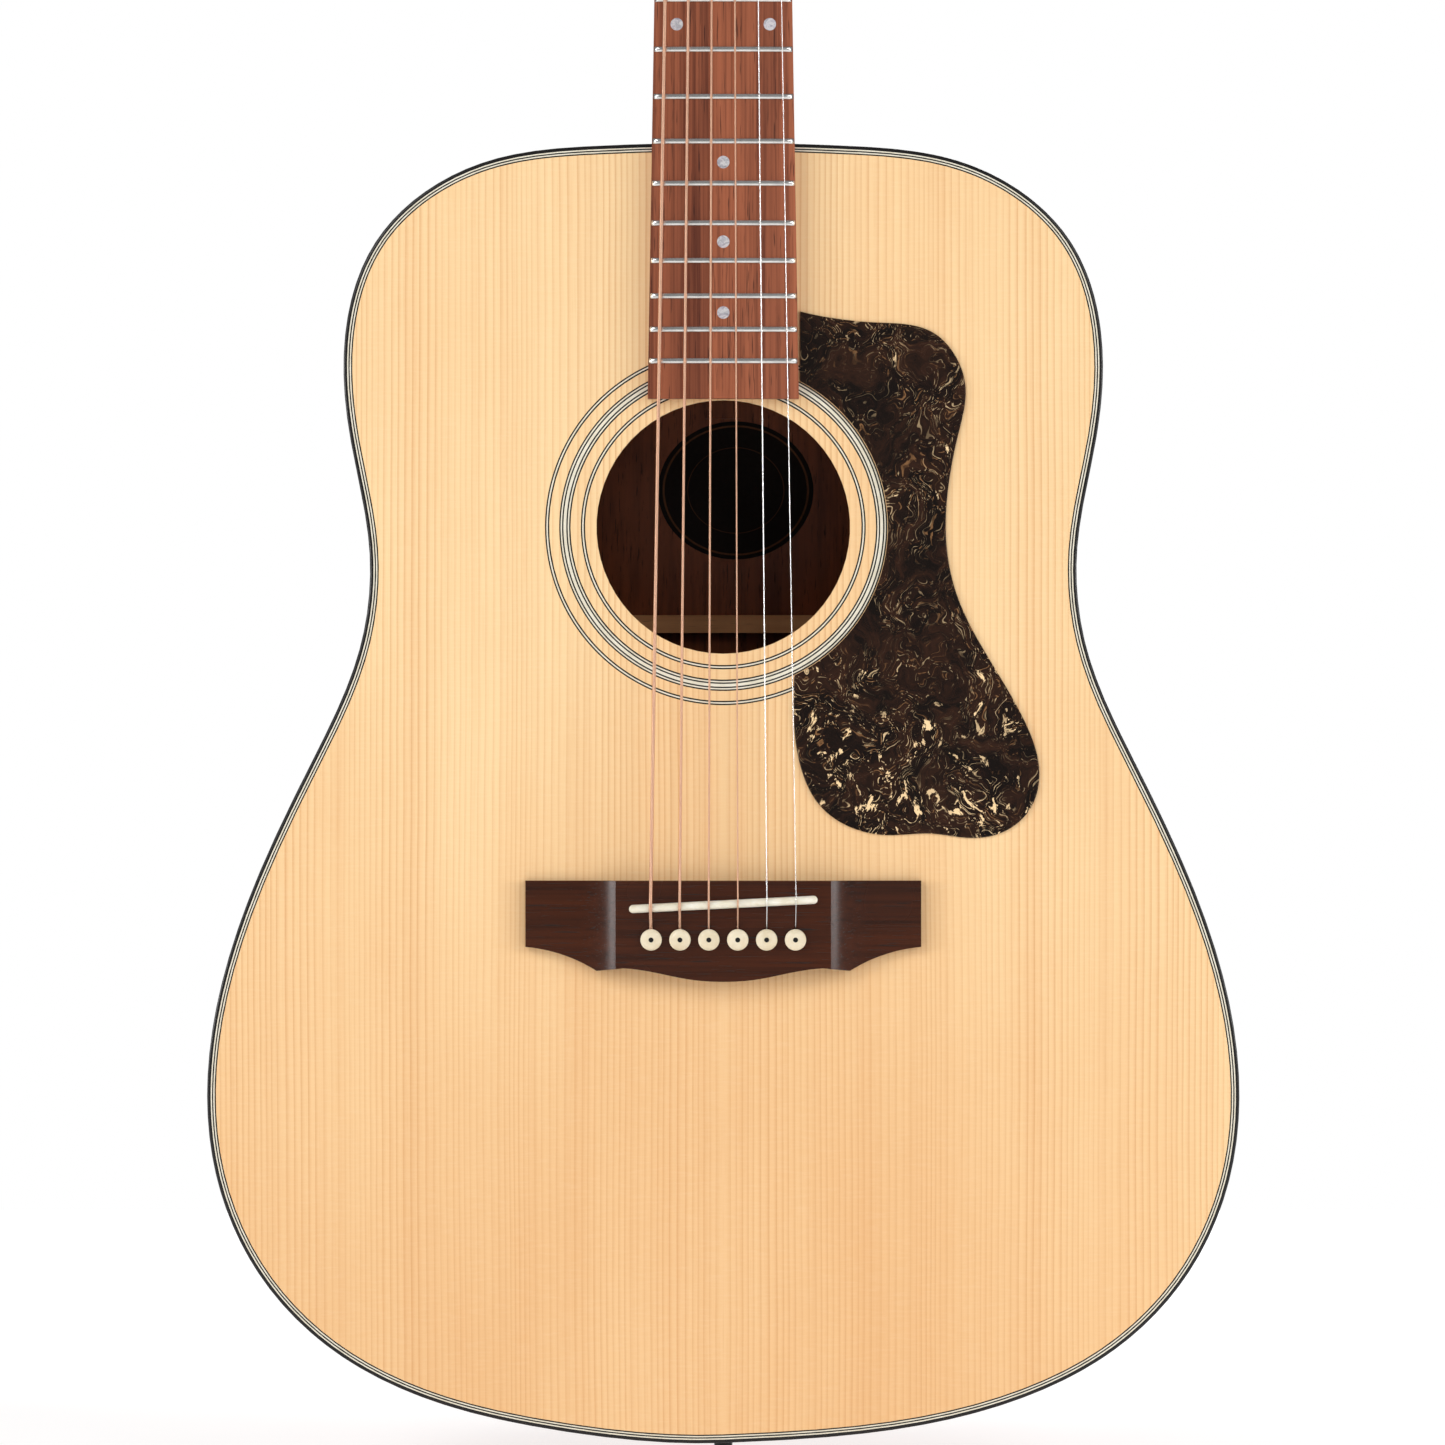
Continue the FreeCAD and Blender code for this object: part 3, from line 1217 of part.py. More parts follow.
def truss_rod_nut():
    """The hexagonal nut that sets the rod's tension."""
    radius = 4.0
    points = [Vector(radius * math.cos(math.radians(60 * i)), radius * math.sin(math.radians(60 * i)), 0)
              for i in range(6)]
    hexagon = Part.Face(polygon(points)).extrude(Vector(0, 0, TRUSS_NUT_LENGTH))
    bore = Part.makeCylinder(1.9 + RUNNING_CLEARANCE, 5.5, Vector(0, 0, -0.5), Vector(0, 0, 1))
    socket = [Vector(p.x * 0.5, p.y * 0.5, TRUSS_NUT_LENGTH - 3.5) for p in points]
    key = Part.Face(polygon(socket)).extrude(Vector(0, 0, 5))
    nose = Part.makeCone(5.2, 3.4, TRUSS_NUT_LENGTH, Vector(0, 0, 0), Vector(0, 0, 1))
    shape = hexagon.common(nose).cut([bore, key])
    shape.translate(at(0, TRUSS_AXIS_DEPTH, TRUSS_NUT_Z))
    return shape


COVER_THICKNESS = 1.6
COVER_SCREWS = [(0.0, 33.0), (-7.0, 5.0), (7.0, 5.0)]


def truss_rod_cover():
    """The bell-shaped cover screwed over the truss rod's pocket."""
    half = [(10.0, 1.0), (10.0, 8.0), (7.4, 20.0), (5.4, 30.0)]
    curve = Part.BSplineCurve()
    right = [on_head(u, v, 0) for u, v in half[1:]]
    tip = on_head(0, 37.5, 0)
    left = [on_head(-u, v, 0) for u, v in reversed(half[1:])]
    curve.interpolate(right + [tip] + left)
    foot_right, foot_left = on_head(10.0, 1.0, 0), on_head(-10.0, 1.0, 0)
    edges = [Part.makeLine(foot_right, right[0]), curve.toShape(), Part.makeLine(left[-1], foot_left),
             Part.makeLine(foot_left, foot_right)]
    shape = Part.Face(Part.Wire(edges)).extrude(HEAD_BACK * -COVER_THICKNESS)
    holes = [Part.makeCylinder(1.15, 6, on_head(u, v, -4), HEAD_BACK) for u, v in COVER_SCREWS]
    return shape.cut(holes)


def small_screw(point, inward, shank, grip, head_radius=2.0):
    """A round-headed screw with a slot, its head's underside at the point."""
    head = Part.makeSphere(head_radius * 1.25, Vector(0, 0, -head_radius * 0.75))
    head = head.common(Part.makeBox(10, 10, 5, Vector(-5, -5, 0)))
    slot = Part.makeBox(10, 0.5, 2, Vector(-5, -0.25, head_radius * 0.26))
    body = Part.makeCylinder(shank, grip, Vector(0, 0, -grip), Vector(0, 0, 1))
    point_cone = Part.makeCone(0.2, shank, 1.5, Vector(0, 0, -grip - 1.5), Vector(0, 0, 1))
    screw = fuse([head.cut(slot), body, point_cone])
    screw.Placement = FreeCAD.Placement(point, Rotation(Vector(0, 0, 1), inward * -1))
    return screw


def cover_screws():
    """The three screws of the truss rod cover."""
    return [small_screw(on_head(u, v, -COVER_THICKNESS), HEAD_BACK, 0.9, 6.0, 1.7) for u, v in COVER_SCREWS]


# ---------------------------------------------------------------- tuning machines
def placed(shape, number):
    """A copy of a machine's piece on the headstock; the treble side's are mirror images."""
    copy = shape.copy()
    if tuner_side(number) > 0:
        copy = copy.mirror(Vector(0, 0, 0), Vector(1, 0, 0))
    u, v = post_place(number)
    turn = Rotation(Vector(-1, 0, 0), HEAD_UP, HEAD_BACK, "XYZ")
    seat = FreeCAD.Placement(on_head(u, v, HEAD_THICKNESS), turn)
    copy.Placement = seat.multiply(copy.Placement)
    return copy


def gear_wire(n, twist):
    """The wheel's outline at a height, its teeth turned by the twist."""
    tip, root = GEAR_RADIUS + ADDENDUM, GEAR_RADIUS - DEDENDUM
    pitch_angle = 2 * math.pi / GEAR_TEETH
    root_half, tip_half = 0.30 * pitch_angle, 0.095 * pitch_angle
    points = []
    for i in range(GEAR_TEETH):
        middle = twist + pitch_angle * (i + 0.5) - math.pi / 2
        for radius, offset in ((root, -root_half), (tip, -tip_half), (tip, tip_half), (root, root_half)):
            a = middle + offset
            points.append(Vector(radius * math.cos(a), radius * math.sin(a), n))
    return polygon(points)


LEAD_ANGLE = math.atan(WORM_PITCH / (2 * math.pi * WORM_RADIUS))


def gear():
    """The wheel, its teeth slanted to suit the worm's thread."""
    half = GEAR_THICKNESS / 2
    twist = math.tan(LEAD_ANGLE) * half / GEAR_RADIUS
    wires = [gear_wire(GEAR_N - half, -twist), gear_wire(GEAR_N + half, twist)]
    wheel = Part.makeLoft(wires, True, True)
    return wheel.cut(Part.makeCylinder(2.0, 20, Vector(0, 0, 0), Vector(0, 0, 1)))


def post():
    """The string post: a waisted top with the string's hole, and a stub for the wheel."""
    face = -HEAD_THICKNESS
    top = face - POST_HEIGHT
    hole = face - POST_HOLE_HEIGHT
    gear_low, gear_high = GEAR_N - GEAR_THICKNESS / 2, GEAR_N + GEAR_THICKNESS / 2
    profile = [(0, top), (2.5, top), (POST_RADIUS, top + 0.5), (POST_RADIUS, top + 3.6),
               (POST_WAIST, top + 4.6), (POST_WAIST, face - 3.4), (POST_RADIUS, face - 2.6),
               (POST_RADIUS, gear_low), (2.0, gear_low), (2.0, gear_high), (0, gear_high)]
    wire = polygon([Vector(r, 0, n) for r, n in profile])
    body = Part.Face(wire).revolve(Vector(0, 0, 0), Vector(0, 0, 1), 360)
    return body.cut(Part.makeCylinder(0.9, 20, Vector(0, -10, hole), Vector(0, 1, 0)))


def windings(number):
    """The turns of a string on its post, each one drawn as a ring."""
    radius = STRING_RADII[number - 1]
    start = -HEAD_THICKNESS - STRING_POST_HEIGHT - 2 * radius - 0.35
    rings = []
    for i in range(TURNS[number - 1]):
        n = start - i * (2 * radius + 0.02)
        rings.append(Part.makeTorus(POST_WAIST + radius - 0.03, radius, Vector(0, 0, n), Vector(0, 0, 1)))
    return rings


def gear_screw():
    """The slotted screw that holds the wheel on the post."""
    base = GEAR_N + GEAR_THICKNESS / 2
    head = Part.makeCylinder(2.9, 1.2, Vector(0, 0, base), Vector(0, 0, 1))
    head = head.makeFillet(0.4, [e for e in head.Edges if e.BoundBox.ZMin > base + 1.1])
    return head.cut(Part.makeBox(8, 0.7, 0.8, Vector(-4, -0.35, base + 0.7)))


def worm():
    """The worm: a single thread on a shaft that runs out to the button."""
    tip, root = WORM_RADIUS + ADDENDUM, WORM_RADIUS - DEDENDUM
    turns_length = WORM_LENGTH + 2 * WORM_PITCH
    start = -turns_length / 2
    phase = -start / WORM_PITCH * 360.0
    helix = Part.makeHelix(WORM_PITCH, turns_length, root)
    root_half, tip_half = 0.30 * WORM_PITCH, 0.115 * WORM_PITCH
    inner = root - 0.15
    profile = polygon([Vector(inner, 0, -root_half), Vector(tip, 0, -tip_half), Vector(tip, 0, tip_half),
                       Vector(inner, 0, root_half)])
    thread = Part.Wire(helix.Edges).makePipeShell([profile], True, True)
    thread.rotate(Vector(0, 0, 0), Vector(0, 0, 1), -phase)
    thread.translate(Vector(0, 0, start))
    core = Part.makeCylinder(root, WORM_LENGTH, Vector(0, 0, -WORM_LENGTH / 2), Vector(0, 0, 1))
    keep = Part.makeCylinder(tip + 1, WORM_LENGTH, Vector(0, 0, -WORM_LENGTH / 2), Vector(0, 0, 1))
    body = core.fuse(thread.common(keep))
    inner_end = -WORM_LENGTH / 2 - EAR_GAP - EAR_THICKNESS - 1.0
    outer_end = BUTTON_START + 8.0
    up = Vector(0, 0, 1)
    shaft_rod = Part.makeCylinder(WORM_SHAFT_RADIUS, outer_end - inner_end, up * inner_end, up)
    collar = Part.makeCylinder(2.2, 2.4, up * (WORM_LENGTH / 2 + EAR_THICKNESS + 2 * EAR_GAP), up)
    whole = fuse([body, shaft_rod, collar])
    # From the helix's own frame (axis Z, thread crossing +X) to the machine's (axis u, facing +v)
    whole.Placement = FreeCAD.Placement(Vector(0, WORM_V, GEAR_N),
                                        Rotation(Vector(0, 1, 0), Vector(0, 0, 1), Vector(1, 0, 0), "XYZ"))
    return whole


def button():
    """The oval button: a flattened round body on a short neck."""
    length, half_width, half_thickness = BUTTON_LENGTH, BUTTON_HALF_WIDTH, BUTTON_HALF_THICKNESS
    sections = []
    stations = ((0.0, 2.6, 2.6), (0.10, 3.0, 2.9), (0.30, 7.4, 3.4), (0.58, half_width, half_thickness),
                (0.84, 8.0, 3.2), (1.0, 4.6, 1.8))
    for share, width, thick in stations:
        u = BUTTON_START + share * length
        ellipse = Part.Ellipse(Vector(0, 0, 0), max(width, thick + 0.01), thick).toShape()
        facing_out = Rotation(Vector(0, 1, 0), Vector(0, 0, 1), Vector(1, 0, 0), "XYZ")
        ellipse.Placement = FreeCAD.Placement(Vector(u, WORM_V, GEAR_N), facing_out)
        sections.append(Part.Wire([ellipse]))
    shape = Part.makeLoft(sections, True, False)
    bore = Part.makeCylinder(WORM_SHAFT_RADIUS, 8.0, Vector(BUTTON_START, WORM_V, GEAR_N), Vector(1, 0, 0))
    return shape.cut(bore)


def tuner_plate():
    """The base plate with the two ears that carry the worm."""
    half_width, low, high = 7.5, -17.2, 12.4
    base = Part.makeBox(2 * half_width, high - low, PLATE_THICKNESS, Vector(-half_width, low, 0))
    corners = [e for e in base.Edges if abs(e.BoundBox.ZLength - PLATE_THICKNESS) < 0.01]
    base = base.makeFillet(5.0, corners)
    ears = []
    for sign in (-1, 1):
        near = sign * (WORM_LENGTH / 2 + EAR_GAP)
        u0 = near if sign > 0 else near - EAR_THICKNESS
        ear = Part.makeBox(EAR_THICKNESS, 2 * EAR_HALF_WIDTH, GEAR_N, Vector(u0, WORM_V - EAR_HALF_WIDTH, 0))
        top = Part.makeCylinder(EAR_HALF_WIDTH, EAR_THICKNESS, Vector(u0, WORM_V, GEAR_N), Vector(1, 0, 0))
        ears += [ear, top]
    shape = fuse([base] + ears)
    axle_radius = WORM_SHAFT_RADIUS + RUNNING_CLEARANCE
    axle = Part.makeCylinder(axle_radius, 40, Vector(-20, WORM_V, GEAR_N), Vector(1, 0, 0))
    post_hole = Part.makeCylinder(POST_RADIUS + RUNNING_CLEARANCE, 10, Vector(0, 0, -5), Vector(0, 0, 1))
    holes = [Part.makeCylinder(1.15, 10, Vector(0, v, -5), Vector(0, 0, 1)) for v in PLATE_SCREW_V]
    return shape.cut([axle, post_hole] + holes)


PLATE_SCREW_V = [-14.4, 9.4]


def plate_screws():
    """The two screws of one machine, in the machine's frame."""
    into = Vector(0, 0, -1)
    return [small_screw(Vector(0, v, PLATE_THICKNESS), into, 1.0, 7.0, 1.9) for v in PLATE_SCREW_V]


def headstock_screws():
    """Every screw in the headstock: the cover's three and two for each machine."""
    screws = plate_screws()
    return cover_screws() + [placed(s, n) for n in range(1, 7) for s in screws]


def bushing():
    """The pressed-in bushing that steadies the post at the head's face."""
    face = -HEAD_THICKNESS
    bore = POST_RADIUS + RUNNING_CLEARANCE
    profile = [(bore, face - 1.5), (4.6, face - 1.5), (5.4, face - 0.9), (5.4, face),
               (BUSHING_RADIUS, face), (BUSHING_RADIUS, face + 8.0), (bore, face + 8.0)]
    wire = polygon([Vector(r, 0, n) for r, n in profile])
    return Part.Face(wire).revolve(Vector(0, 0, 0), Vector(0, 0, 1), 360)


# ---------------------------------------------------------------- the assembly
def build_body():
    """Writes the soundbox and what is fixed to it."""
    rim_shape = rim()
    space = inner_space()
    crossed = x_braces(brace_room())
    room = brace_room()
    bars = back_braces()
    export("soundboard", soundboard())
    export("back_plate", back_plate())
    export("side_bass", side(rim_shape, -1))
    export("side_treble", side(rim_shape, 1))
    export("end_wedge", end_wedge(rim_shape))
    export("neck_block", neck_block(space))
    export("tail_block", tail_block(space))
    export("top_linings", top_linings())
    export("back_linings", back_linings())
    export("x_braces", crossed)
    export("tone_bars", tone_bars(room, crossed))
    export("finger_braces", finger_braces(room, crossed))
    export("upper_braces", upper_braces(room, crossed))
    export("bridge_plate", bridge_plate(crossed))
    export("back_braces", bars)
    export("back_centre_strip", back_centre_strip(bars))
    export("soundhole_label", label())
    export("top_binding", top_binding())
    export("top_purfling_white", purfling(0))
    export("top_purfling_black", purfling(1))
    export("back_binding", back_binding())
    export("rosette_black_rings", rosette("black"))
    export("rosette_white_rings", rosette("white"))
    export("pickguard", pickguard())
    export("strap_button", strap_button())


def build_bridge():
    """Writes the bridge, the saddle and the pins."""
    export("bridge", bridge())
    export("saddle", saddle())
    export("bridge_pins", [bridge_pin(n) for n in range(1, 7)])
    export("bridge_pin_dots", [pin_dot(n) for n in range(1, 7)])


def build_neck():
    """Writes the neck and what is fixed to it."""
    fret_shapes = [fret(n) for n in range(1, FRET_COUNT + 1)]
    face_dots, edge_dots = dots(1.5), side_dots()
    export("frets", fret_shapes)
    export("position_dots", face_dots + edge_dots)
    export("fretboard", fretboard(fret_shapes, face_dots + edge_dots))
    export("nut", nut())
    export("neck", neck())
    export("heel_cap", heel_cap())
    export("headstock_overlay", headstock_overlay())
    export("truss_rod", truss_rod())
    export("truss_rod_nut", truss_rod_nut())
    export("truss_rod_cover", truss_rod_cover())


def build_strings():
    """Writes the six strings."""
    for number in range(1, 7):
        export(f"string_{number}", string(number))


def build_tuners():
    """Writes the six tuning machines."""
    numbers = range(1, 7)
    shaft_shape, button_shape = worm(), button()
    post_pieces = [post(), gear(), gear_screw()]
    for number in numbers:
        export(f"tuner_knob_{number}", [placed(shaft_shape, number), placed(button_shape, number)])
        export(f"tuner_post_{number}", [placed(p, number) for p in post_pieces + windings(number)])
    fixed = [tuner_plate(), bushing()]
    export("tuner_plates", [placed(s, n) for n in numbers for s in fixed])
    export("headstock_screws", headstock_screws())


def main():
    os.makedirs(PARTS, exist_ok=True)
    build_body()
    build_bridge()
    build_neck()
    build_strings()
    build_tuners()


main()
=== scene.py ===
"""A steel-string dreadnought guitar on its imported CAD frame: its finishes, crowned frets and windings.

Everything is in metres in the CAD's own frame: X to the treble side, Y from the soundboard to the back and
Z up the neck, with the origin at the end pin.
"""
import json
import logging
import math
from abc import ABC, abstractmethod
from dataclasses import dataclass
from enum import Enum
from typing import Optional, Sequence, Union

import bpy
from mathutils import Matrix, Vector


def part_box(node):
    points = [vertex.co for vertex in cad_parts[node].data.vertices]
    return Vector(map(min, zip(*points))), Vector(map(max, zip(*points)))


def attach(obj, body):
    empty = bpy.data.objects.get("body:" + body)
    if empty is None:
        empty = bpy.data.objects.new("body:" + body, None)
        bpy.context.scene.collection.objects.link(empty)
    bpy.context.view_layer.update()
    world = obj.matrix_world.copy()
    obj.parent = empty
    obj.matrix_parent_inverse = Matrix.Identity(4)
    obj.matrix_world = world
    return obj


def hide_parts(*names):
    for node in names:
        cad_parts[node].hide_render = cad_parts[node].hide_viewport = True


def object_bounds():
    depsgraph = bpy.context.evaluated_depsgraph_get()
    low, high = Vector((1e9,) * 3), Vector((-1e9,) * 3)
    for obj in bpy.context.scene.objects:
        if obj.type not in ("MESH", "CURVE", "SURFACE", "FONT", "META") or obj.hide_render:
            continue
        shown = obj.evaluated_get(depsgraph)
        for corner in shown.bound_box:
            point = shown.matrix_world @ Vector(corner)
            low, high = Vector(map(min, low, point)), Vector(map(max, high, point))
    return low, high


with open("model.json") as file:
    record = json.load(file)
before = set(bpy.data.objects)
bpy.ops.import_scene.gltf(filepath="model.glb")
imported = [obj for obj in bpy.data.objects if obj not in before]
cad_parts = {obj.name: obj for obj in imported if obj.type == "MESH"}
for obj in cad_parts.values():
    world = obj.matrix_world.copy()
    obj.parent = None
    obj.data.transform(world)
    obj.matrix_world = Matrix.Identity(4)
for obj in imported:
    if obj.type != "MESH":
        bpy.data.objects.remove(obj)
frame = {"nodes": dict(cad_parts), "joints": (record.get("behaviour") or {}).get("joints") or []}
CAD_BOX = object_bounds()

LOG = logging.getLogger("guitar")
MM = 0.001
STRING_NUMBERS = range(1, 7)      # 1 is the thinnest string, on the treble side
PLAIN_STRINGS = 2                 # the first strings are bare steel and the rest are wound
Colour = tuple[float, float, float]


def srgb(red: int, green: int, blue: int) -> Colour:
    """A linear colour from the usual 0 to 255 numbers.

    Args:
        red: The red share.
        green: The green share.
        blue: The blue share.

    Returns:
        The colour as Blender's sockets take it, without alpha.
    """
    shares = (value / 255 for value in (red, green, blue))
    return tuple(share / 12.92 if share <= 0.04 else ((share + 0.055) / 1.055) ** 2.4 for share in shares)


# ------------------------------------------------------------------ shader arithmetic
@dataclass(frozen=True)
class Wire:
    """An output socket of a material's tree. Arithmetic on it adds Math nodes."""

    bench: "Tree"
    socket: bpy.types.NodeSocket

    def maths(self, operation: str, *values: Union["Wire", float]) -> "Wire":
        """One Math node over the given values."""
        return self.bench.node("ShaderNodeMath", {"operation": operation}, dict(enumerate(values)))

    def __add__(self, other: Union["Wire", float]) -> "Wire":
        """This value plus another."""
        return self.maths("ADD", self, other)

    __radd__ = __add__

    def __sub__(self, other: Union["Wire", float]) -> "Wire":
        """This value minus another."""
        return self.maths("SUBTRACT", self, other)

    def __rsub__(self, other: float) -> "Wire":
        """A number minus this value."""
        return self.maths("SUBTRACT", other, self)

    def __mul__(self, other: Union["Wire", float]) -> "Wire":
        """This value times another."""
        return self.maths("MULTIPLY", self, other)

    __rmul__ = __mul__

    def __truediv__(self, other: Union["Wire", float]) -> "Wire":
        """This value over another."""
        return self.maths("DIVIDE", self, other)

    def __pow__(self, other: float) -> "Wire":
        """This value raised to a power."""
        return self.maths("POWER", self, other)

    def __rpow__(self, other: float) -> "Wire":
        """A number raised to this value."""
        return self.maths("POWER", other, self)

    def __abs__(self) -> "Wire":
        """This value without its sign."""
        return self.maths("ABSOLUTE", self)

    def fraction(self) -> "Wire":
        """The part of this value after the point."""
        return self.maths("FRACT", self)

    def sine(self) -> "Wire":
        """The sine of this value in radians."""
        return self.maths("SINE", self)

    def smooth(self, low: float, high: float) -> "Wire":
        """0 below low, 1 above high, and a smooth step between them."""
        return self.bench.node("ShaderNodeMapRange", {"interpolation_type": "SMOOTHSTEP"},
                               {"Value": self, "From Min": low, "From Max": high})


class Tree:
    """A node tree that is filled from Python expressions."""

    tree: bpy.types.NodeTree

    def node(self, kind: str, settings: dict, values: dict,
             output: Union[int, str] = 0) -> Optional[Wire]:
        """Adds one node.

        Args:
            kind: The node's type.
            settings: Its properties, set before its sockets. "stops" holds a ramp's places and colours.
            values: Its inputs by name or number, each a wire, a number or a colour.
            output: Which output to return.

        Returns:
            The wanted output, or nothing from a node without outputs.
        """
        made = self.tree.nodes.new(kind)
        for key, value in settings.items():
            if key == "stops":
                self._set_stops(made.color_ramp, value)
            else:
                setattr(made, key, value)
        for key, value in values.items():
            self._feed(made.inputs[key], value)
        return Wire(self, made.outputs[output]) if made.outputs else None

    @staticmethod
    def _set_stops(ramp: bpy.types.ColorRamp, stops: Sequence[tuple[float, Colour]]) -> None:
        """Gives a colour ramp its stops."""
        while len(ramp.elements) < len(stops):
            ramp.elements.new(0.5)
        for element, (place, colour) in zip(ramp.elements, stops):
            element.position = place
            element.color = (*colour, 1.0)

    def _feed(self, socket: bpy.types.NodeSocket, value: Union[Wire, float, Sequence[float]]) -> None:
        """Links a wire to a socket, or sets the socket's own value."""
        if isinstance(value, Wire):
            self.tree.links.new(value.socket, socket)
        elif hasattr(value, "__len__") and socket.type == "RGBA" and len(value) == 3:
            socket.default_value = (*value, 1.0)
        else:
            socket.default_value = value

    def vector(self, x: Union[Wire, float], y: Union[Wire, float], z: Union[Wire, float]) -> Wire:
        """A vector from three numbers."""
        return self.node("ShaderNodeCombineXYZ", {}, {0: x, 1: y, 2: z})

    def parts(self, vector: Wire) -> tuple[Wire, Wire, Wire]:
        """The three numbers of a vector."""
        first = self.node("ShaderNodeSeparateXYZ", {}, {0: vector})
        return first, Wire(self, first.socket.node.outputs[1]), Wire(self, first.socket.node.outputs[2])


class Bench(Tree):
    """The node tree of one material, with a Principled shader at its end."""

    def __init__(self, name: str) -> None:
        """Makes an empty material.

        Args:
            name: The material's name.
        """
        self.material = bpy.data.materials.new(name)
        self.material.use_nodes = True
        self.tree = self.material.node_tree
        self.tree.nodes.clear()
        self.shader = self.tree.nodes.new("ShaderNodeBsdfPrincipled")
        self.node("ShaderNodeOutputMaterial", {}, {"Surface": Wire(self, self.shader.outputs[0])})
        self.place = self.node("ShaderNodeTexCoord", {}, {}, "Object")
        self.x, self.y, self.z = self.parts(self.place)

    def set(self, **values: Union[Wire, float, Sequence[float]]) -> None:
        """Sets the shader's sockets; an underscore in a name stands for a space."""
        for name, value in values.items():
            self._feed(self.shader.inputs[name.replace("_", " ")], value)

    def noise(self, place: Wire, scale: float, detail: float = 2.0, roughness: float = 0.5,
              distortion: float = 0.0) -> Wire:
        """Smooth noise from 0 to 1 at a place."""
        return self.node("ShaderNodeTexNoise", {}, {"Vector": place, "Scale": scale, "Detail": detail,
                                                    "Roughness": roughness, "Distortion": distortion})

    def stretched(self, across: float, along: float, grain: "Grain", detail: float = 2.0,
                  roughness: float = 0.5) -> Wire:
        """Noise drawn out along the grain.

        Args:
            across: Its frequency across the grain, per metre.
            along: Its frequency along the grain, per metre.
            grain: Which way the grain runs.
            detail: The noise's octaves.
            roughness: How strong the finer octaves are.

        Returns:
            The noise, from 0 to 1.
        """
        rates = [along if axis in grain.value else across for axis in "xyz"]
        place = self.vector(*(wire * rate for wire, rate in zip((self.x, self.y, self.z), rates)))
        return self.noise(place, 1.0, detail, roughness)

    def mix(self, factor: Union[Wire, float], first: Union[Wire, Colour],
            second: Union[Wire, Colour]) -> Wire:
        """A colour between two others."""
        return self.node("ShaderNodeMix", {"data_type": "RGBA"}, {0: factor, 6: first, 7: second}, 2)

    def bump(self, height: Wire, distance: float, strength: float = 1.0) -> None:
        """Raises the surface by a height from 0 to 1 over a distance in metres."""
        sizes = {"Height": height, "Distance": distance, "Strength": strength}
        self.set(Normal=self.node("ShaderNodeBump", {}, sizes))


class Graph(Tree):
    """A Geometry Nodes tree with named inputs, run once to make a plain mesh."""

    def __init__(self, name: str) -> None:
        """Makes an empty tree.

        Args:
            name: The tree's name, which is also the finished piece's.
        """
        self.tree = bpy.data.node_groups.new(name, "GeometryNodeTree")
        self.inlet = self.tree.nodes.new("NodeGroupInput")
        self.sizes: dict[str, Union[int, float, Vector]] = {}

    def size(self, name: str, value: Union[int, float, Vector]) -> Wire:
        """Adds a named input.

        Args:
            name: What it measures.
            value: Its value for this guitar.

        Returns:
            The input's wire.
        """
        kind = {int: "NodeSocketInt", float: "NodeSocketFloat"}.get(type(value), "NodeSocketVector")
        socket = self.tree.interface.new_socket(name, in_out="INPUT", socket_type=kind)
        self.sizes[socket.identifier] = value
        return Wire(self, self.inlet.outputs[name])

    def position(self) -> tuple[Wire, Wire, Wire]:
        """The place of each point, as three numbers."""
        return self.parts(self.node("GeometryNodeInputPosition", {}, {}))

    def moved(self, shape: Wire, x: Union[Wire, float], y: Union[Wire, float], z: Union[Wire, float]) -> Wire:
        """A shape with its points put at new places."""
        return self.node("GeometryNodeSetPosition", {}, {"Geometry": shape, "Position": self.vector(x, y, z)})

    def make(self, shape: Wire, finish: "Finish", smooth: bool = True) -> bpy.types.Object:
        """Runs the tree and keeps its result as a plain mesh.

        Args:
            shape: The tree's last shape.
            finish: The finish of the piece.
            smooth: Whether its faces are shaded smooth.

        Returns:
            The piece, at the origin and without modifiers.
        """
        self.tree.interface.new_socket("Shape", in_out="OUTPUT", socket_type="NodeSocketGeometry")
        whole = self.node("GeometryNodeRealizeInstances", {}, {"Geometry": shape})
        shaded = self.node("GeometryNodeSetShadeSmooth", {}, {"Geometry": whole, "Shade Smooth": smooth})
        coated = {"Geometry": shaded, "Material": finish.material()}
        dressed = self.node("GeometryNodeSetMaterial", {}, coated)
        self.node("NodeGroupOutput", {}, {0: dressed})
        piece = bpy.data.objects.new(self.tree.name, bpy.data.meshes.new(self.tree.name))
        bpy.context.scene.collection.objects.link(piece)
        builder = piece.modifiers.new("builder", "NODES")
        builder.node_group = self.tree
        for identifier, value in self.sizes.items():
            builder[identifier] = value
        mesh = bpy.data.meshes.new_from_object(piece.evaluated_get(bpy.context.evaluated_depsgraph_get()))
        piece.modifiers.remove(builder)
        piece.data = mesh
        return piece


class Grain(Enum):
    """Which of the frame's axes a piece's wood fibres follow."""

    UP = "z"
    ACROSS = "x"
    ROUND = "xz"


# ------------------------------------------------------------------ finishes
class Finish(ABC):
    """A surface finish that can be put on pieces. Each one makes its material once."""

    name: str
    _made: dict[str, bpy.types.Material] = {}

    def material(self) -> bpy.types.Material:
        """The finish's material, made on first use."""
        if self.name not in Finish._made:
            bench = Bench(self.name)
            self.paint(bench)
            Finish._made[self.name] = bench.material
        return Finish._made[self.name]

    @abstractmethod
    def paint(self, bench: Bench) -> None:
        """Builds the material's nodes on a bench."""


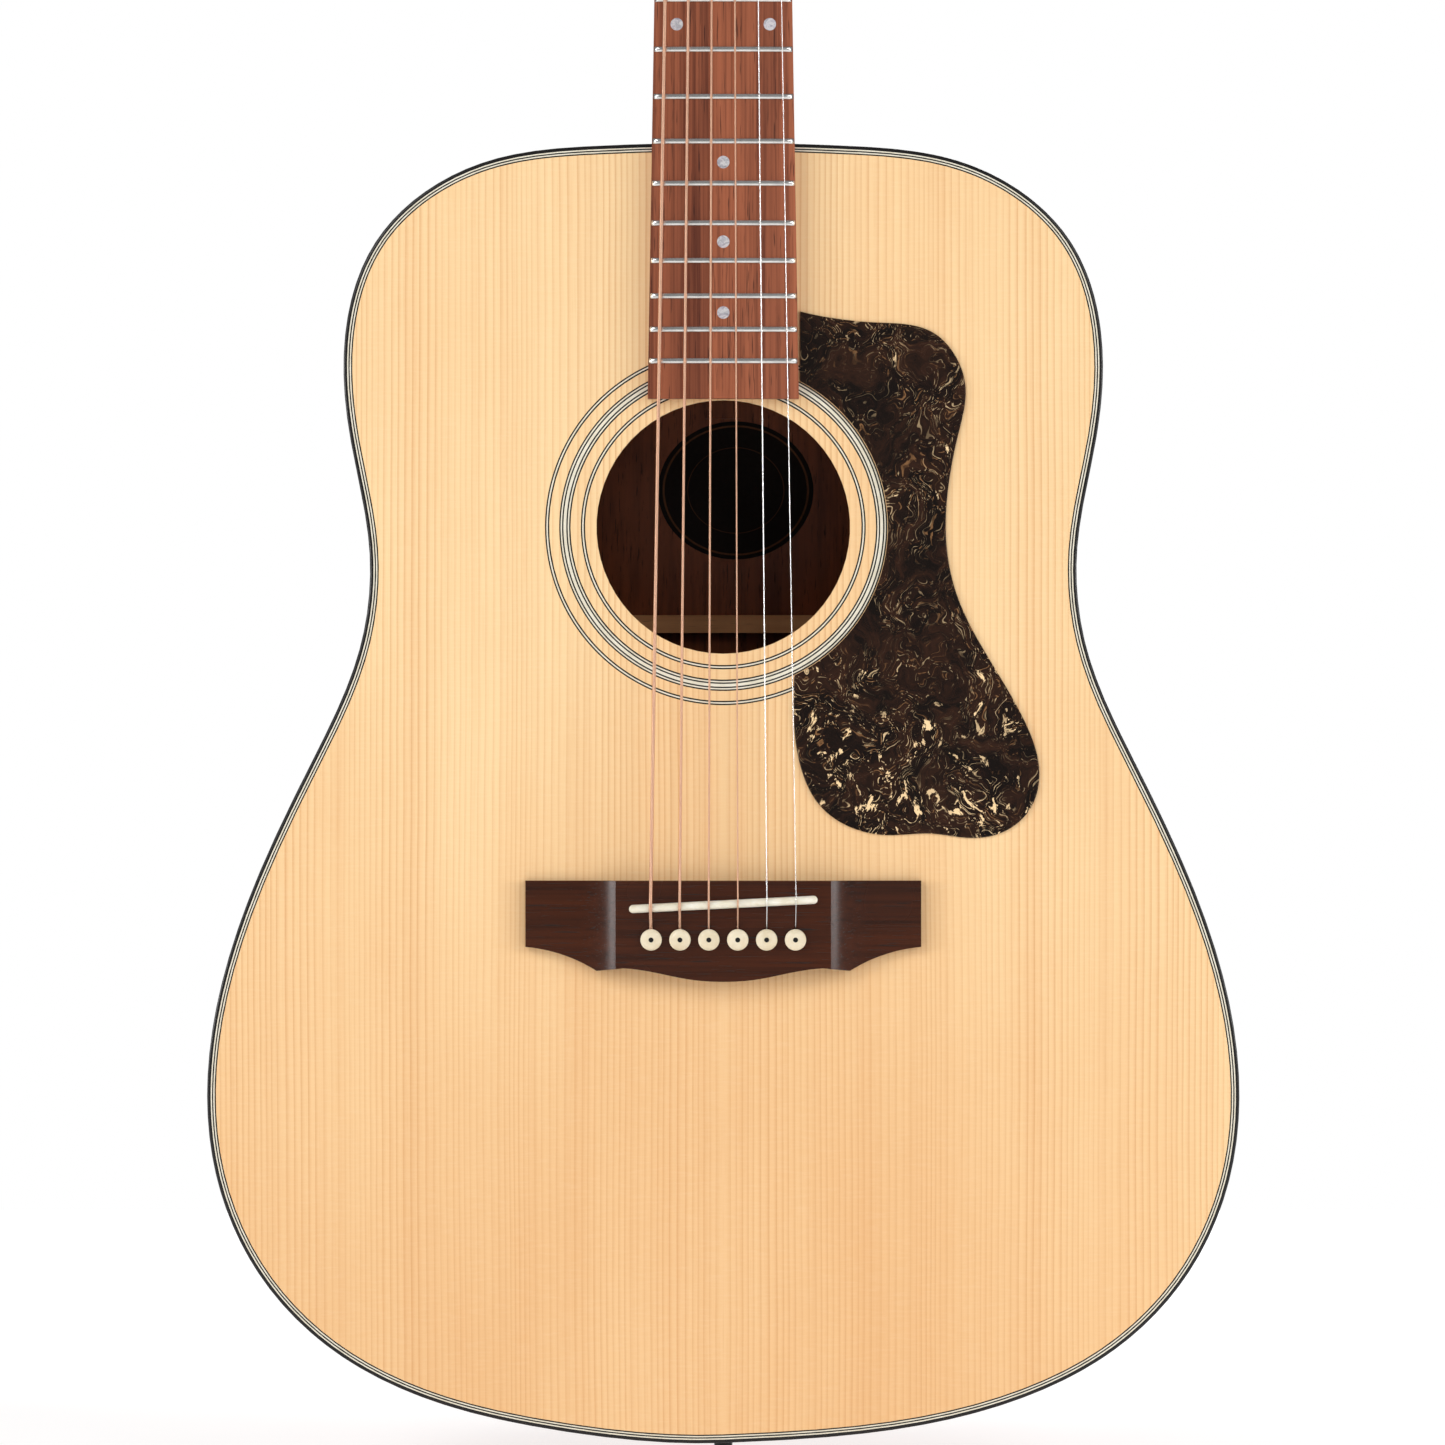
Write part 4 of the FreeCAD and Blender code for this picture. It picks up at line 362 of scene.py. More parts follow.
@dataclass(frozen=True)
class Spruce(Finish):
    """Book-matched spruce: fine growth lines, broad tone changes, faint silk across the grain, and painted
    shade that makes it darker and warmer towards the tail.
    """

    name: str = "spruce_top"
    early: Colour = srgb(250, 216, 165)
    late: Colour = srgb(212, 144, 84)
    # serves both the random tone changes and the painted shade towards the tail
    warm_tone_and_shade: Colour = srgb(234, 183, 128)
    silk: Colour = srgb(255, 234, 198)
    ring: float = 2.5 * MM            # from one growth line to the next
    ring_spread: float = 7.0          # how many rings the spacing gains or loses
    sway: float = 7.0 * MM            # how far the lines wander
    ripple: float = 0.35 * MM
    shade_below: float = 300.0 * MM    # painted shade: the wood is painted warmer and darker from here down to the tail, where less light falls
    roughness: float = 0.40
    coat: float = 0.1
    relief: float = 0.03 * MM

    def paint(self, bench: Bench) -> None:
        """Growth lines are mirrored about the centre joint."""
        sway = bench.noise(bench.vector(bench.x * 6.0, 0.0, bench.z * 2.2), 1.0, 2.0) * self.sway
        ripple = bench.noise(bench.vector(bench.x * 40.0, 0.0, bench.z * 30.0), 1.0, 2.0) * self.ripple
        across = abs(bench.x) + sway + ripple
        line = self._growth_line(bench, across)
        strength = bench.noise(bench.vector(across * 70.0, 0.0, bench.z * 1.5), 1.0, 2.0).smooth(0.30, 0.70)
        tone = bench.noise(bench.vector(bench.x * 7.0, 1.0, bench.z * 2.5), 1.0, 3.0, 0.55).smooth(0.36, 0.70)
        stripe = bench.noise(bench.vector(across * 150.0, 0.0, bench.z * 1.2), 1.0, 4.0, 0.65)
        fibre = bench.noise(bench.vector(across * 1400.0, 0.0, bench.z * 30.0), 1.0, 2.0, 0.6)
        silk = bench.noise(bench.vector(bench.x * 110.0, 0.0, bench.z * 950.0), 1.0, 2.0, 0.7)
        # painted shade: low grows towards the tail and blends the top towards the darker warm colour
        low = 1.0 - (bench.z + bench.x * 0.25).smooth(20.0 * MM, self.shade_below)
        base = bench.mix(tone * 0.4 + low * 0.5, self.early, self.warm_tone_and_shade)
        base = bench.mix(stripe.smooth(0.42, 0.75) * 0.14 + fibre.smooth(0.45, 0.8) * 0.12, base, self.late)
        base = bench.mix(line * (0.34 + 0.5 * strength), base, self.late)
        base = bench.mix((silk - 0.45) * 0.3, base, self.silk)
        bench.set(Base_Color=base, Roughness=self.roughness - line * 0.08, Coat_Weight=self.coat,
                  Coat_Roughness=0.25, Specular_IOR_Level=0.25)
        bench.bump(line * 0.6 + silk * 0.25, self.relief, 0.5)

    def _growth_line(self, bench: Bench, across: Wire) -> Wire:
        """1 on the dark line of each ring: a slow rise through the ring and a sharp end."""
        spacing = bench.noise(bench.vector(across * 24.0, 0.0, 3.0), 1.0, 3.0) * self.ring_spread
        phase = (across / self.ring + spacing).fraction()
        return phase ** 4.0 * (1.0 - phase.smooth(0.90, 1.0))


@dataclass(frozen=True)
class BareSpruce(Finish):
    """Unvarnished spruce for the bracing."""

    name: str = "spruce_brace"
    grain: Grain = Grain.ACROSS
    light: Colour = srgb(233, 203, 158)
    dark: Colour = srgb(205, 165, 112)
    relief: float = 0.08 * MM

    def paint(self, bench: Bench) -> None:
        """Soft straight lines."""
        lines = bench.stretched(700.0, 20.0, self.grain, 3.0, 0.6)
        bench.set(Base_Color=bench.mix(lines.smooth(0.35, 0.7), self.light, self.dark), Roughness=0.7)
        bench.bump(lines, self.relief)


@dataclass(frozen=True)
class Hardwood(Finish):
    """A varnished or oiled hardwood: broad figure, dark streaks and open pores along the grain, and a broad
    painted sheen.
    """

    name: str
    light: Colour
    dark: Colour
    pore: Colour
    grain: Grain
    roughness: float = 0.4
    coat: float = 0.4
    figure: float = 60.0              # broad streaks across a metre
    pores: float = 1500.0             # pores across a metre
    contrast: float = 1.0
    shine: float = 0.3
    relief: float = 0.04 * MM

    def paint(self, bench: Bench) -> None:
        """Three scales of streaks and a painted sheen, all drawn out along the grain."""
        broad = bench.stretched(self.figure, 3.0, self.grain, 3.0, 0.55).smooth(0.30, 0.72)
        streak = bench.stretched(self.figure * 6.0, 9.0, self.grain, 3.0, 0.6).smooth(0.38, 0.72)
        fine = bench.stretched(self.pores, 55.0, self.grain, 2.0, 0.6)
        pore = fine.smooth(0.60, 0.70)
        painted_sheen = bench.stretched(18.0, 26.0, self.grain, 2.0, 0.5).smooth(0.3, 0.7)
        figure = broad * 0.55 * self.contrast + streak * 0.45 * self.contrast
        colour = bench.mix(figure, self.light, self.dark)
        # painted sheen: broad lighter patches along the grain stand in for the shimmer of light on the wood
        colour = bench.mix(painted_sheen * 0.16, colour, self.light)
        colour = bench.mix(pore * 0.75, colour, self.pore)
        bench.set(Base_Color=colour, Roughness=self.roughness + pore * 0.2 - painted_sheen * 0.05,
                  Coat_Weight=self.coat, Coat_Roughness=0.18, Specular_IOR_Level=self.shine)
        bench.bump(1.0 - pore * 0.7 + fine * 0.2, self.relief, 0.35)


@dataclass(frozen=True)
class Polymer(Finish):
    """A moulded or scraped plastic with faint clouding and fine scratches."""

    name: str
    colour: Colour
    second: Colour
    roughness: float = 0.25
    glow: float = 0.0
    relief: float = 0.01 * MM

    def paint(self, bench: Bench) -> None:
        """Clouding in the colour, fine noise in the polish."""
        cloud = bench.noise(bench.place, 160.0, 3.0, 0.6)
        scuff = bench.noise(bench.place, 1900.0, 2.0, 0.7)
        bench.set(Base_Color=bench.mix(cloud.smooth(0.3, 0.7), self.colour, self.second),
                  Roughness=self.roughness + scuff * 0.12, Coat_Weight=0.1, Coat_Roughness=0.1,
                  Specular_IOR_Level=0.35, Subsurface_Weight=self.glow,
                  Subsurface_Radius=(1.2 * MM, 0.9 * MM, 0.6 * MM))
        bench.bump(scuff, self.relief, 0.4)


@dataclass(frozen=True)
class Tortoiseshell(Finish):
    """Dark mottled sheet: near-black brown swirls, amber veins and scattered cream flecks."""

    name: str = "tortoiseshell"
    ground: Colour = srgb(16, 8, 5)
    swirl: Colour = srgb(50, 28, 17)
    amber: Colour = srgb(150, 108, 70)
    cream: Colour = srgb(250, 216, 166)
    bulge: float = 300.0 * MM         # the flecks grow below this height
    warp: float = 110.0 * MM          # how far the pattern is drawn out
    fleck_warp: float = 30.0 * MM
    relief: float = 0.02 * MM

    def paint(self, bench: Bench) -> None:
        """A warped sheet: dark swirls, short fine streaks, and larger flecks crowded in the lower bulge."""
        place = bench.vector(bench.x, 0.0, bench.z)
        bend = bench.noise(place, 26.0, 3.0, 0.6)
        turn = bench.noise(bench.vector(bench.z, 0.4, bench.x), 24.0, 3.0, 0.6)
        across = bench.x + (bend - 0.5) * self.warp
        along = bench.z + (turn - 0.5) * self.warp
        fleck_across = (bench.x + bend * self.fleck_warp) * 170.0
        fleck_along = (bench.z + turn * self.fleck_warp) * 95.0
        swirl = bench.noise(bench.vector(across, 0.0, along), 60.0, 5.0, 0.7)
        crowd = bench.noise(place, 42.0, 3.0, 0.6)
        fine = bench.noise(bench.vector(across * 900.0, 0.0, along * 230.0), 1.0, 2.0, 0.6)
        wisp = bench.noise(bench.vector(across * 250.0, 1.0, along * 600.0), 1.0, 3.0, 0.65)
        blot = bench.noise(bench.vector(fleck_across, 2.0, fleck_along), 1.0, 5.0, 0.7)
        low = 1.0 - bench.z.smooth(self.bulge - 50.0 * MM, self.bulge + 40.0 * MM)
        streak = fine.smooth(0.60, 0.66) * crowd.smooth(0.38, 0.62)
        thread = wisp.smooth(0.585, 0.66) * crowd.smooth(0.36, 0.56)
        fleck = (blot + low * 0.055).smooth(0.640, 0.665) * (low * 0.8 + crowd.smooth(0.46, 0.56))
        colour = bench.mix(swirl.smooth(0.40, 0.66), self.ground, self.swirl)
        colour = bench.mix(thread * 0.7, colour, self.amber)
        colour = bench.mix(streak * (0.5 + 0.5 * low), colour, self.cream)
        colour = bench.mix(fleck, colour, self.cream)
        bench.set(Base_Color=colour, Roughness=0.2 + swirl * 0.12, Coat_Weight=0.05, Coat_Roughness=0.12,
                  Specular_IOR_Level=0.22)
        bench.bump(swirl, self.relief, 0.3)


@dataclass(frozen=True)
class Metal(Finish):
    """A polished or drawn metal with faint smudges."""

    name: str
    colour: Colour
    roughness: float = 0.2
    smudge: float = 0.14              # how much duller the smudges are
    worn: float = 0.82                # the colour that they leave, as a share of the clean one
    relief: float = 0.008 * MM

    def paint(self, bench: Bench) -> None:
        """Smudges change the polish and dull the colour a little."""
        haze = bench.noise(bench.place, 240.0, 4.0, 0.6)
        scratch = bench.noise(bench.place, 3200.0, 2.0, 0.6)
        worn = tuple(share * self.worn for share in self.colour)
        bench.set(Base_Color=bench.mix(haze.smooth(0.35, 0.75), self.colour, worn), Metallic=1.0,
                  Roughness=self.roughness + haze * self.smudge)
        bench.bump(scratch, self.relief, 0.3)


@dataclass(frozen=True)
class WoundWire(Finish):
    """Bronze wrap wire: fine ridges all along a string, with painted shade in the grooves between them."""

    name: str = "bronze_wound"
    colour: Colour = srgb(240, 200, 172)
    # painted shade: the darker colour in the grooves between the wraps
    groove_shade: Colour = srgb(160, 104, 78)
    stain: Colour = srgb(214, 158, 126)
    pitch: float = 0.34 * MM
    relief: float = 0.06 * MM

    def paint(self, bench: Bench) -> None:
        """The wraps lie across the string, which runs nearly up the frame."""
        wave = ((bench.z + bench.y * 0.3) * (2 * math.pi / self.pitch)).sine() * 0.5 + 0.5
        haze = bench.noise(bench.place, 130.0, 3.0)
        # painted shade: the troughs of the wave take the darker groove colour
        colour = bench.mix(wave.smooth(0.0, 0.6), self.groove_shade, self.colour)
        colour = bench.mix(haze * 0.25, colour, self.stain)
        bench.set(Base_Color=colour, Metallic=0.9, Roughness=0.3 + haze * 0.12)
        bench.bump(wave, self.relief, 0.8)


@dataclass(frozen=True)
class Pearl(Finish):
    """Mother of pearl: soft grey and white bands with a faint colour shift."""

    name: str = "pearl"
    bands: tuple[tuple[float, Colour], ...] = ((0.30, srgb(136, 136, 142)), (0.48, srgb(184, 184, 190)),
                                               (0.60, srgb(214, 213, 212)), (0.78, srgb(160, 162, 168)))
    blush: Colour = srgb(198, 180, 196)

    def paint(self, bench: Bench) -> None:
        """Bands of slightly different tints."""
        place = bench.vector(bench.x, bench.y, bench.z * 1.6)
        band = bench.noise(place, 330.0, 3.0, 0.6, 1.5)
        tint = bench.noise(place, 190.0, 2.0, 0.5, 0.8)
        colour = bench.node("ShaderNodeValToRGB", {"stops": self.bands}, {0: band})
        colour = bench.mix(tint.smooth(0.4, 0.7) * 0.3, colour, self.blush)
        bench.set(Base_Color=colour, Roughness=0.22 + band * 0.1, Coat_Weight=0.6, Coat_Roughness=0.08)


@dataclass(frozen=True)
class LabelPaper(Finish):
    """The dark oval label with its two copper-coloured lines; it carries no print."""

    name: str
    centre: tuple[float, float]
    radii: tuple[float, float]
    outer_ring: float = 0.93          # where the lines lie, as shares of the radii
    inner_ring: float = 0.62
    relief: float = 0.04 * MM

    def paint(self, bench: Bench) -> None:
        """Rings follow the oval's own shape."""
        across = (bench.x - self.centre[0]) / self.radii[0]
        along = (bench.z - self.centre[1]) / self.radii[1]
        reach = (across * across + along * along) ** 0.5
        outer = 1.0 - abs(reach - self.outer_ring).smooth(0.006, 0.02)
        inner = 1.0 - abs(reach - self.inner_ring).smooth(0.003, 0.01)
        fibre = bench.noise(bench.place, 700.0, 3.0, 0.6)
        paper = bench.mix(fibre, srgb(24, 18, 16), srgb(36, 28, 25))
        inked = bench.mix((outer + inner * 0.5) * 0.8, paper, srgb(118, 78, 52))
        bench.set(Base_Color=inked, Roughness=0.75, Specular_IOR_Level=0.15)
        bench.bump(fibre, self.relief)


@dataclass(frozen=True)
class FloorPaint(Finish):
    """The plain pale floor."""

    name: str = "pale_floor"
    pale: Colour = (0.82, 0.82, 0.82)
    speck: Colour = (0.79, 0.79, 0.79)
    glow: float = 0.30

    def paint(self, bench: Bench) -> None:
        """Nearly white, with a little light of its own so that it stays as pale as the surroundings."""
        mottle = bench.noise(bench.place, 14.0, 2.0)
        bench.set(Base_Color=bench.mix(mottle, self.pale, self.speck), Roughness=0.9,
                  Emission_Color=(1.0, 1.0, 1.0, 1.0), Emission_Strength=self.glow)


# ------------------------------------------------------------------ making pieces
def dress(node: str, finish: Finish) -> bpy.types.Object:
    """Puts a finish on a CAD node.

    Args:
        node: The node's name.
        finish: The finish for all its slots.

    Returns:
        The node's object.
    """
    piece = frame["nodes"][node]
    if not piece.material_slots:
        piece.data.materials.append(None)
    for place in piece.material_slots:
        place.material = finish.material()
    return piece


class Assembly(ABC):
    """A group of pieces that are made and dressed together."""

    @abstractmethod
    def build(self) -> list[bpy.types.Object]:
        """Makes and dresses the pieces.

        Returns:
            The finished pieces.
        """


MAHOGANY = {"light": srgb(152, 82, 46), "dark": srgb(98, 50, 28), "pore": srgb(58, 29, 16)}
SATIN = {"roughness": 0.34, "coat": 0.15}
BARE = {"roughness": 0.6, "coat": 0.0}


@dataclass(frozen=True)
class Finishes:
    """The finishes of this guitar, each under the name of its use."""

    top: Spruce = Spruce()
    brace: BareSpruce = BareSpruce()
    upright_brace: BareSpruce = BareSpruce("spruce_brace_upright", Grain.UP)
    back: Hardwood = Hardwood("mahogany_back", **MAHOGANY, grain=Grain.UP, roughness=0.34, coat=0.08,
                              shine=0.15)
    side: Hardwood = Hardwood("mahogany_side", **MAHOGANY, grain=Grain.ROUND, **SATIN)
    neck: Hardwood = Hardwood("mahogany_neck", **MAHOGANY, grain=Grain.UP, roughness=0.42, coat=0.15)
    block: Hardwood = Hardwood("mahogany_block", **MAHOGANY, grain=Grain.ACROSS, **BARE)
    back_brace: Hardwood = Hardwood("mahogany_brace", srgb(228, 166, 112), srgb(194, 128, 80),
                                    srgb(118, 70, 42), Grain.ACROSS, **BARE)
    board: Hardwood = Hardwood("rosewood_board", srgb(168, 97, 67), srgb(98, 49, 33), srgb(48, 23, 16),
                               Grain.UP, roughness=0.45, coat=0.0, figure=130.0, shine=0.25, contrast=1.25)
    bridge: Hardwood = Hardwood("rosewood_bridge", srgb(72, 32, 12), srgb(37, 15, 5), srgb(14, 6, 3),
                                Grain.ACROSS, roughness=0.28, coat=0.0, figure=130.0, shine=0.32)
    veneer: Hardwood = Hardwood("ebony_veneer", srgb(44, 32, 28), srgb(20, 15, 14), srgb(10, 8, 8),
                                Grain.UP, roughness=0.3, coat=0.4)
    black: Polymer = Polymer("black_plastic", srgb(13, 11, 11), srgb(21, 18, 18))
    white: Polymer = Polymer("white_plastic", srgb(238, 232, 214), srgb(226, 218, 196))
    cream: Polymer = Polymer("cream_plastic", srgb(236, 224, 198), srgb(224, 208, 176), glow=0.1)
    bone: Polymer = Polymer("bone", srgb(244, 240, 226), srgb(228, 220, 196), roughness=0.3, glow=0.1)
    shell: Tortoiseshell = Tortoiseshell()
    nickel: Metal = Metal("nickel", (0.76, 0.74, 0.70), roughness=0.12)
    fret: Metal = Metal("fret_wire", (0.80, 0.79, 0.77), roughness=0.16)
    steel: Metal = Metal("steel", (0.42, 0.42, 0.43), roughness=0.32)
    plain: Metal = Metal("plain_steel", (0.88, 0.88, 0.88))
    wound: WoundWire = WoundWire()
    pearl: Pearl = Pearl()


USE = Finishes()


def string_finish(number: int) -> Finish:
    """The finish of a string by its number."""
    return USE.plain if number <= PLAIN_STRINGS else USE.wound


@dataclass
class Soundbox(Assembly):
    """The body: plates, sides, blocks, linings, braces and label."""

    def build(self) -> list[bpy.types.Object]:
        """Dresses every part of the body."""
        low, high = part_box("soundhole_label")
        middle, half = (low + high) / 2, (high - low) / 2
        label = LabelPaper("label_paper", (middle.x, middle.z), (half.x, half.z))
        plan = {"soundboard": USE.top, "back_plate": USE.back, "side_bass": USE.side, "side_treble": USE.side,
                "end_wedge": USE.black, "neck_block": USE.block, "tail_block": USE.block,
                "top_linings": USE.block, "back_linings": USE.block, "x_braces": USE.upright_brace,
                "tone_bars": USE.brace, "finger_braces": USE.brace, "upper_braces": USE.brace,
                "bridge_plate": USE.bridge, "back_braces": USE.back_brace, "back_centre_strip": USE.back,
                "soundhole_label": label, "strap_button": USE.black}
        return [dress(node, finish) for node, finish in plan.items()]


@dataclass
class Trim(Assembly):
    """The lines and plates let into or laid on the body."""

    def build(self) -> list[bpy.types.Object]:
        """Dresses bindings, purflings, rosette and pickguard."""
        plan = {"top_binding": USE.black, "back_binding": USE.black, "top_purfling_white": USE.white,
                "top_purfling_black": USE.black, "rosette_black_rings": USE.black,
                "rosette_white_rings": USE.white, "pickguard": USE.shell}
        return [dress(node, finish) for node, finish in plan.items()]


@dataclass
class BridgeSet(Assembly):
    """The bridge with its saddle and pins."""

    def build(self) -> list[bpy.types.Object]:
        """Dresses the bridge's pieces."""
        plan = {"bridge": USE.bridge, "saddle": USE.bone, "bridge_pins": USE.cream,
                "bridge_pin_dots": USE.black}
        return [dress(node, finish) for node, finish in plan.items()]


@dataclass
class Frets(Assembly):
    """The frets: crowned wire with bevelled ends, each a twelfth-root step nearer the saddle."""

    count: int = 20
    scale_length: float = 647.7 * MM
    board_radius: float = 406.4 * MM
    wire_width: float = 2.3 * MM
    end_inset: float = 0.35 * MM
    end_bevel: float = 0.05           # the bevelled share of half a wire
    end_fall: float = 0.75            # how far the bevel takes the crown down, as a share of it
    foot: float = -0.35               # the wire's flat underside, as a share of the crown
    sides: int = 20
    steps: int = 42

    def build(self) -> list[bpy.types.Object]:
        """Lays the wires across the board."""
        board_low, board_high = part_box("fretboard")
        nut_low, nut_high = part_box("nut")
        graph = Graph("frets_crowned")
        count = graph.size("Count", self.count)
        length = graph.size("Scale Length", self.scale_length)
        nut = graph.size("Nut Height", nut_low.z)
        face = graph.size("Board Face", board_low.y)
        crown = graph.size("Crown", board_low.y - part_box("frets")[0].y)
        width = graph.size("Wire Width", self.wire_width)
        radius = graph.size("Board Radius", self.board_radius)
        nut_half = graph.size("Half Width at the Nut", nut_high.x)
        end_half = graph.size("Half Width at the End", board_high.x)
        end = graph.size("Board End", board_low.z)
        inset = graph.size("End Inset", self.end_inset)
        wire = self._wire(graph, crown, width)
        step = graph.node("GeometryNodeInputIndex", {}, {}) + 1.0
        height = nut - length * (1.0 - 2.0 ** (step * (-1 / 12)))
        half = nut_half + (end_half - nut_half) * (nut - height) / (nut - end) - inset
        row = graph.moved(graph.node("GeometryNodeMeshLine", {}, {"Count": count}), 0.0, 0.0, height)
        laid = graph.node("GeometryNodeInstanceOnPoints", {},
                          {"Points": row, "Instance": wire, "Scale": graph.vector(half, 1.0, 1.0)})
        laid = graph.node("GeometryNodeRealizeInstances", {}, {"Geometry": laid})
        x, y, z = graph.position()
        piece = graph.make(graph.moved(laid, x, face + y + x * x / (radius * 2.0), z), USE.fret)
        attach(piece, "guitar")
        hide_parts("frets")
        return [piece]

    def _wire(self, graph: Graph, crown: Wire, width: Wire) -> Wire:
        """One wire from x = -1 to 1, flat below and round above, narrowed towards its ends."""
        rod = graph.node("GeometryNodeMeshCylinder", {"fill_type": "NGON"},
                         {"Vertices": self.sides, "Side Segments": self.steps, "Radius": 1.0, "Depth": 2.0})
        x, y, z = graph.position()
        taper = 1.0 - abs(z).smooth(1.0 - self.end_bevel, 1.0) * self.end_fall
        out = y.maths("MAXIMUM", y, self.foot)
        return graph.moved(rod, z, out * crown * taper * -1.0, x * width * 0.5)


@dataclass
class Neck(Assembly):
    """Neck, fretboard and headstock."""

    def build(self) -> list[bpy.types.Object]:
        """Dresses the neck's pieces."""
        plan = {"neck": USE.neck, "heel_cap": USE.black, "headstock_overlay": USE.veneer,
                "fretboard": USE.board, "position_dots": USE.pearl, "nut": USE.bone, "truss_rod": USE.steel,
                "truss_rod_nut": USE.steel, "truss_rod_cover": USE.black, "headstock_screws": USE.nickel,
                "tuner_plates": USE.nickel}
        return [dress(node, finish) for node, finish in plan.items()]


@dataclass
class Windings(Assembly):
    """The turns of each string on its post, wound as one helix."""

    radii: tuple[float, ...] = (0.152 * MM, 0.203 * MM, 0.305 * MM, 0.406 * MM, 0.533 * MM, 0.673 * MM)
    turns: tuple[int, ...] = (5, 5, 4, 3, 3, 2)
    post_waist: float = 2.5 * MM
    string_height: float = 5.0 * MM
    gap: float = 0.35 * MM
    lay: float = 2.05                 # from one turn to the next, in wire radii
    sides: int = 10
    steps: int = 40

    def build(self) -> list[bpy.types.Object]:
        """Winds six helices, one for each post's body."""
        hinges = {joint["child"]: joint for joint in frame["joints"]}
        return [self._wind(number, hinges[f"post_{number}"]) for number in STRING_NUMBERS]

    def _wind(self, number: int, hinge: dict) -> bpy.types.Object:
        """One post's helix.

        Args:
            number: The string's number, 1 being the thinnest.
            hinge: The post's joint, which gives its foot and its axis.

        Returns:
            The finished helix.
        """
        radius = self.radii[number - 1]
        foot, axis = Vector(hinge["pos_m"]), Vector(hinge["axis"]).normalized()
        top = foot - axis * (self.string_height + 2 * radius + self.gap)
        graph = Graph(f"winding_{number}")
        wire = graph.size("Wire Radius", radius)
        waist = graph.size("Post Radius", self.post_waist)
        turns = graph.size("Turns", float(self.turns[number - 1]))
        start = graph.size("Start", top)
        turn = graph.size("Turn", Vector(axis.to_track_quat("Z", "X").to_euler()))
        coil = graph.node("GeometryNodeCurveSpiral", {}, {
            "Resolution": self.steps, "Rotations": turns, "Start Radius": waist + wire,
            "End Radius": waist + wire, "Height": (turns - 1.0) * wire * self.lay})
        ring = graph.node("GeometryNodeCurvePrimitiveCircle", {}, {"Resolution": self.sides, "Radius": wire})
        tube = graph.node("GeometryNodeCurveToMesh", {}, {
            "Curve": coil, "Profile Curve": ring, "Fill Caps": True})
        set_up = graph.node("GeometryNodeTransform", {}, {
            "Geometry": tube, "Translation": start, "Rotation": turn})
        piece = graph.make(set_up, string_finish(number))
        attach(piece, f"post_{number}")
        return piece


@dataclass
class Strings(Assembly):
    """Six strings with their posts and knobs."""

    def build(self) -> list[bpy.types.Object]:
        """Dresses each string and its machine's turning parts."""
        made = []
        for number in STRING_NUMBERS:
            made.append(dress(f"string_{number}", string_finish(number)))
            made.append(dress(f"tuner_post_{number}", USE.nickel))
            made.append(dress(f"tuner_knob_{number}", USE.nickel))
        return made


@dataclass(frozen=True)
class Lamp:
    """One square soft light."""

    name: str
    place: tuple[float, float, float]
    size: float
    power: float


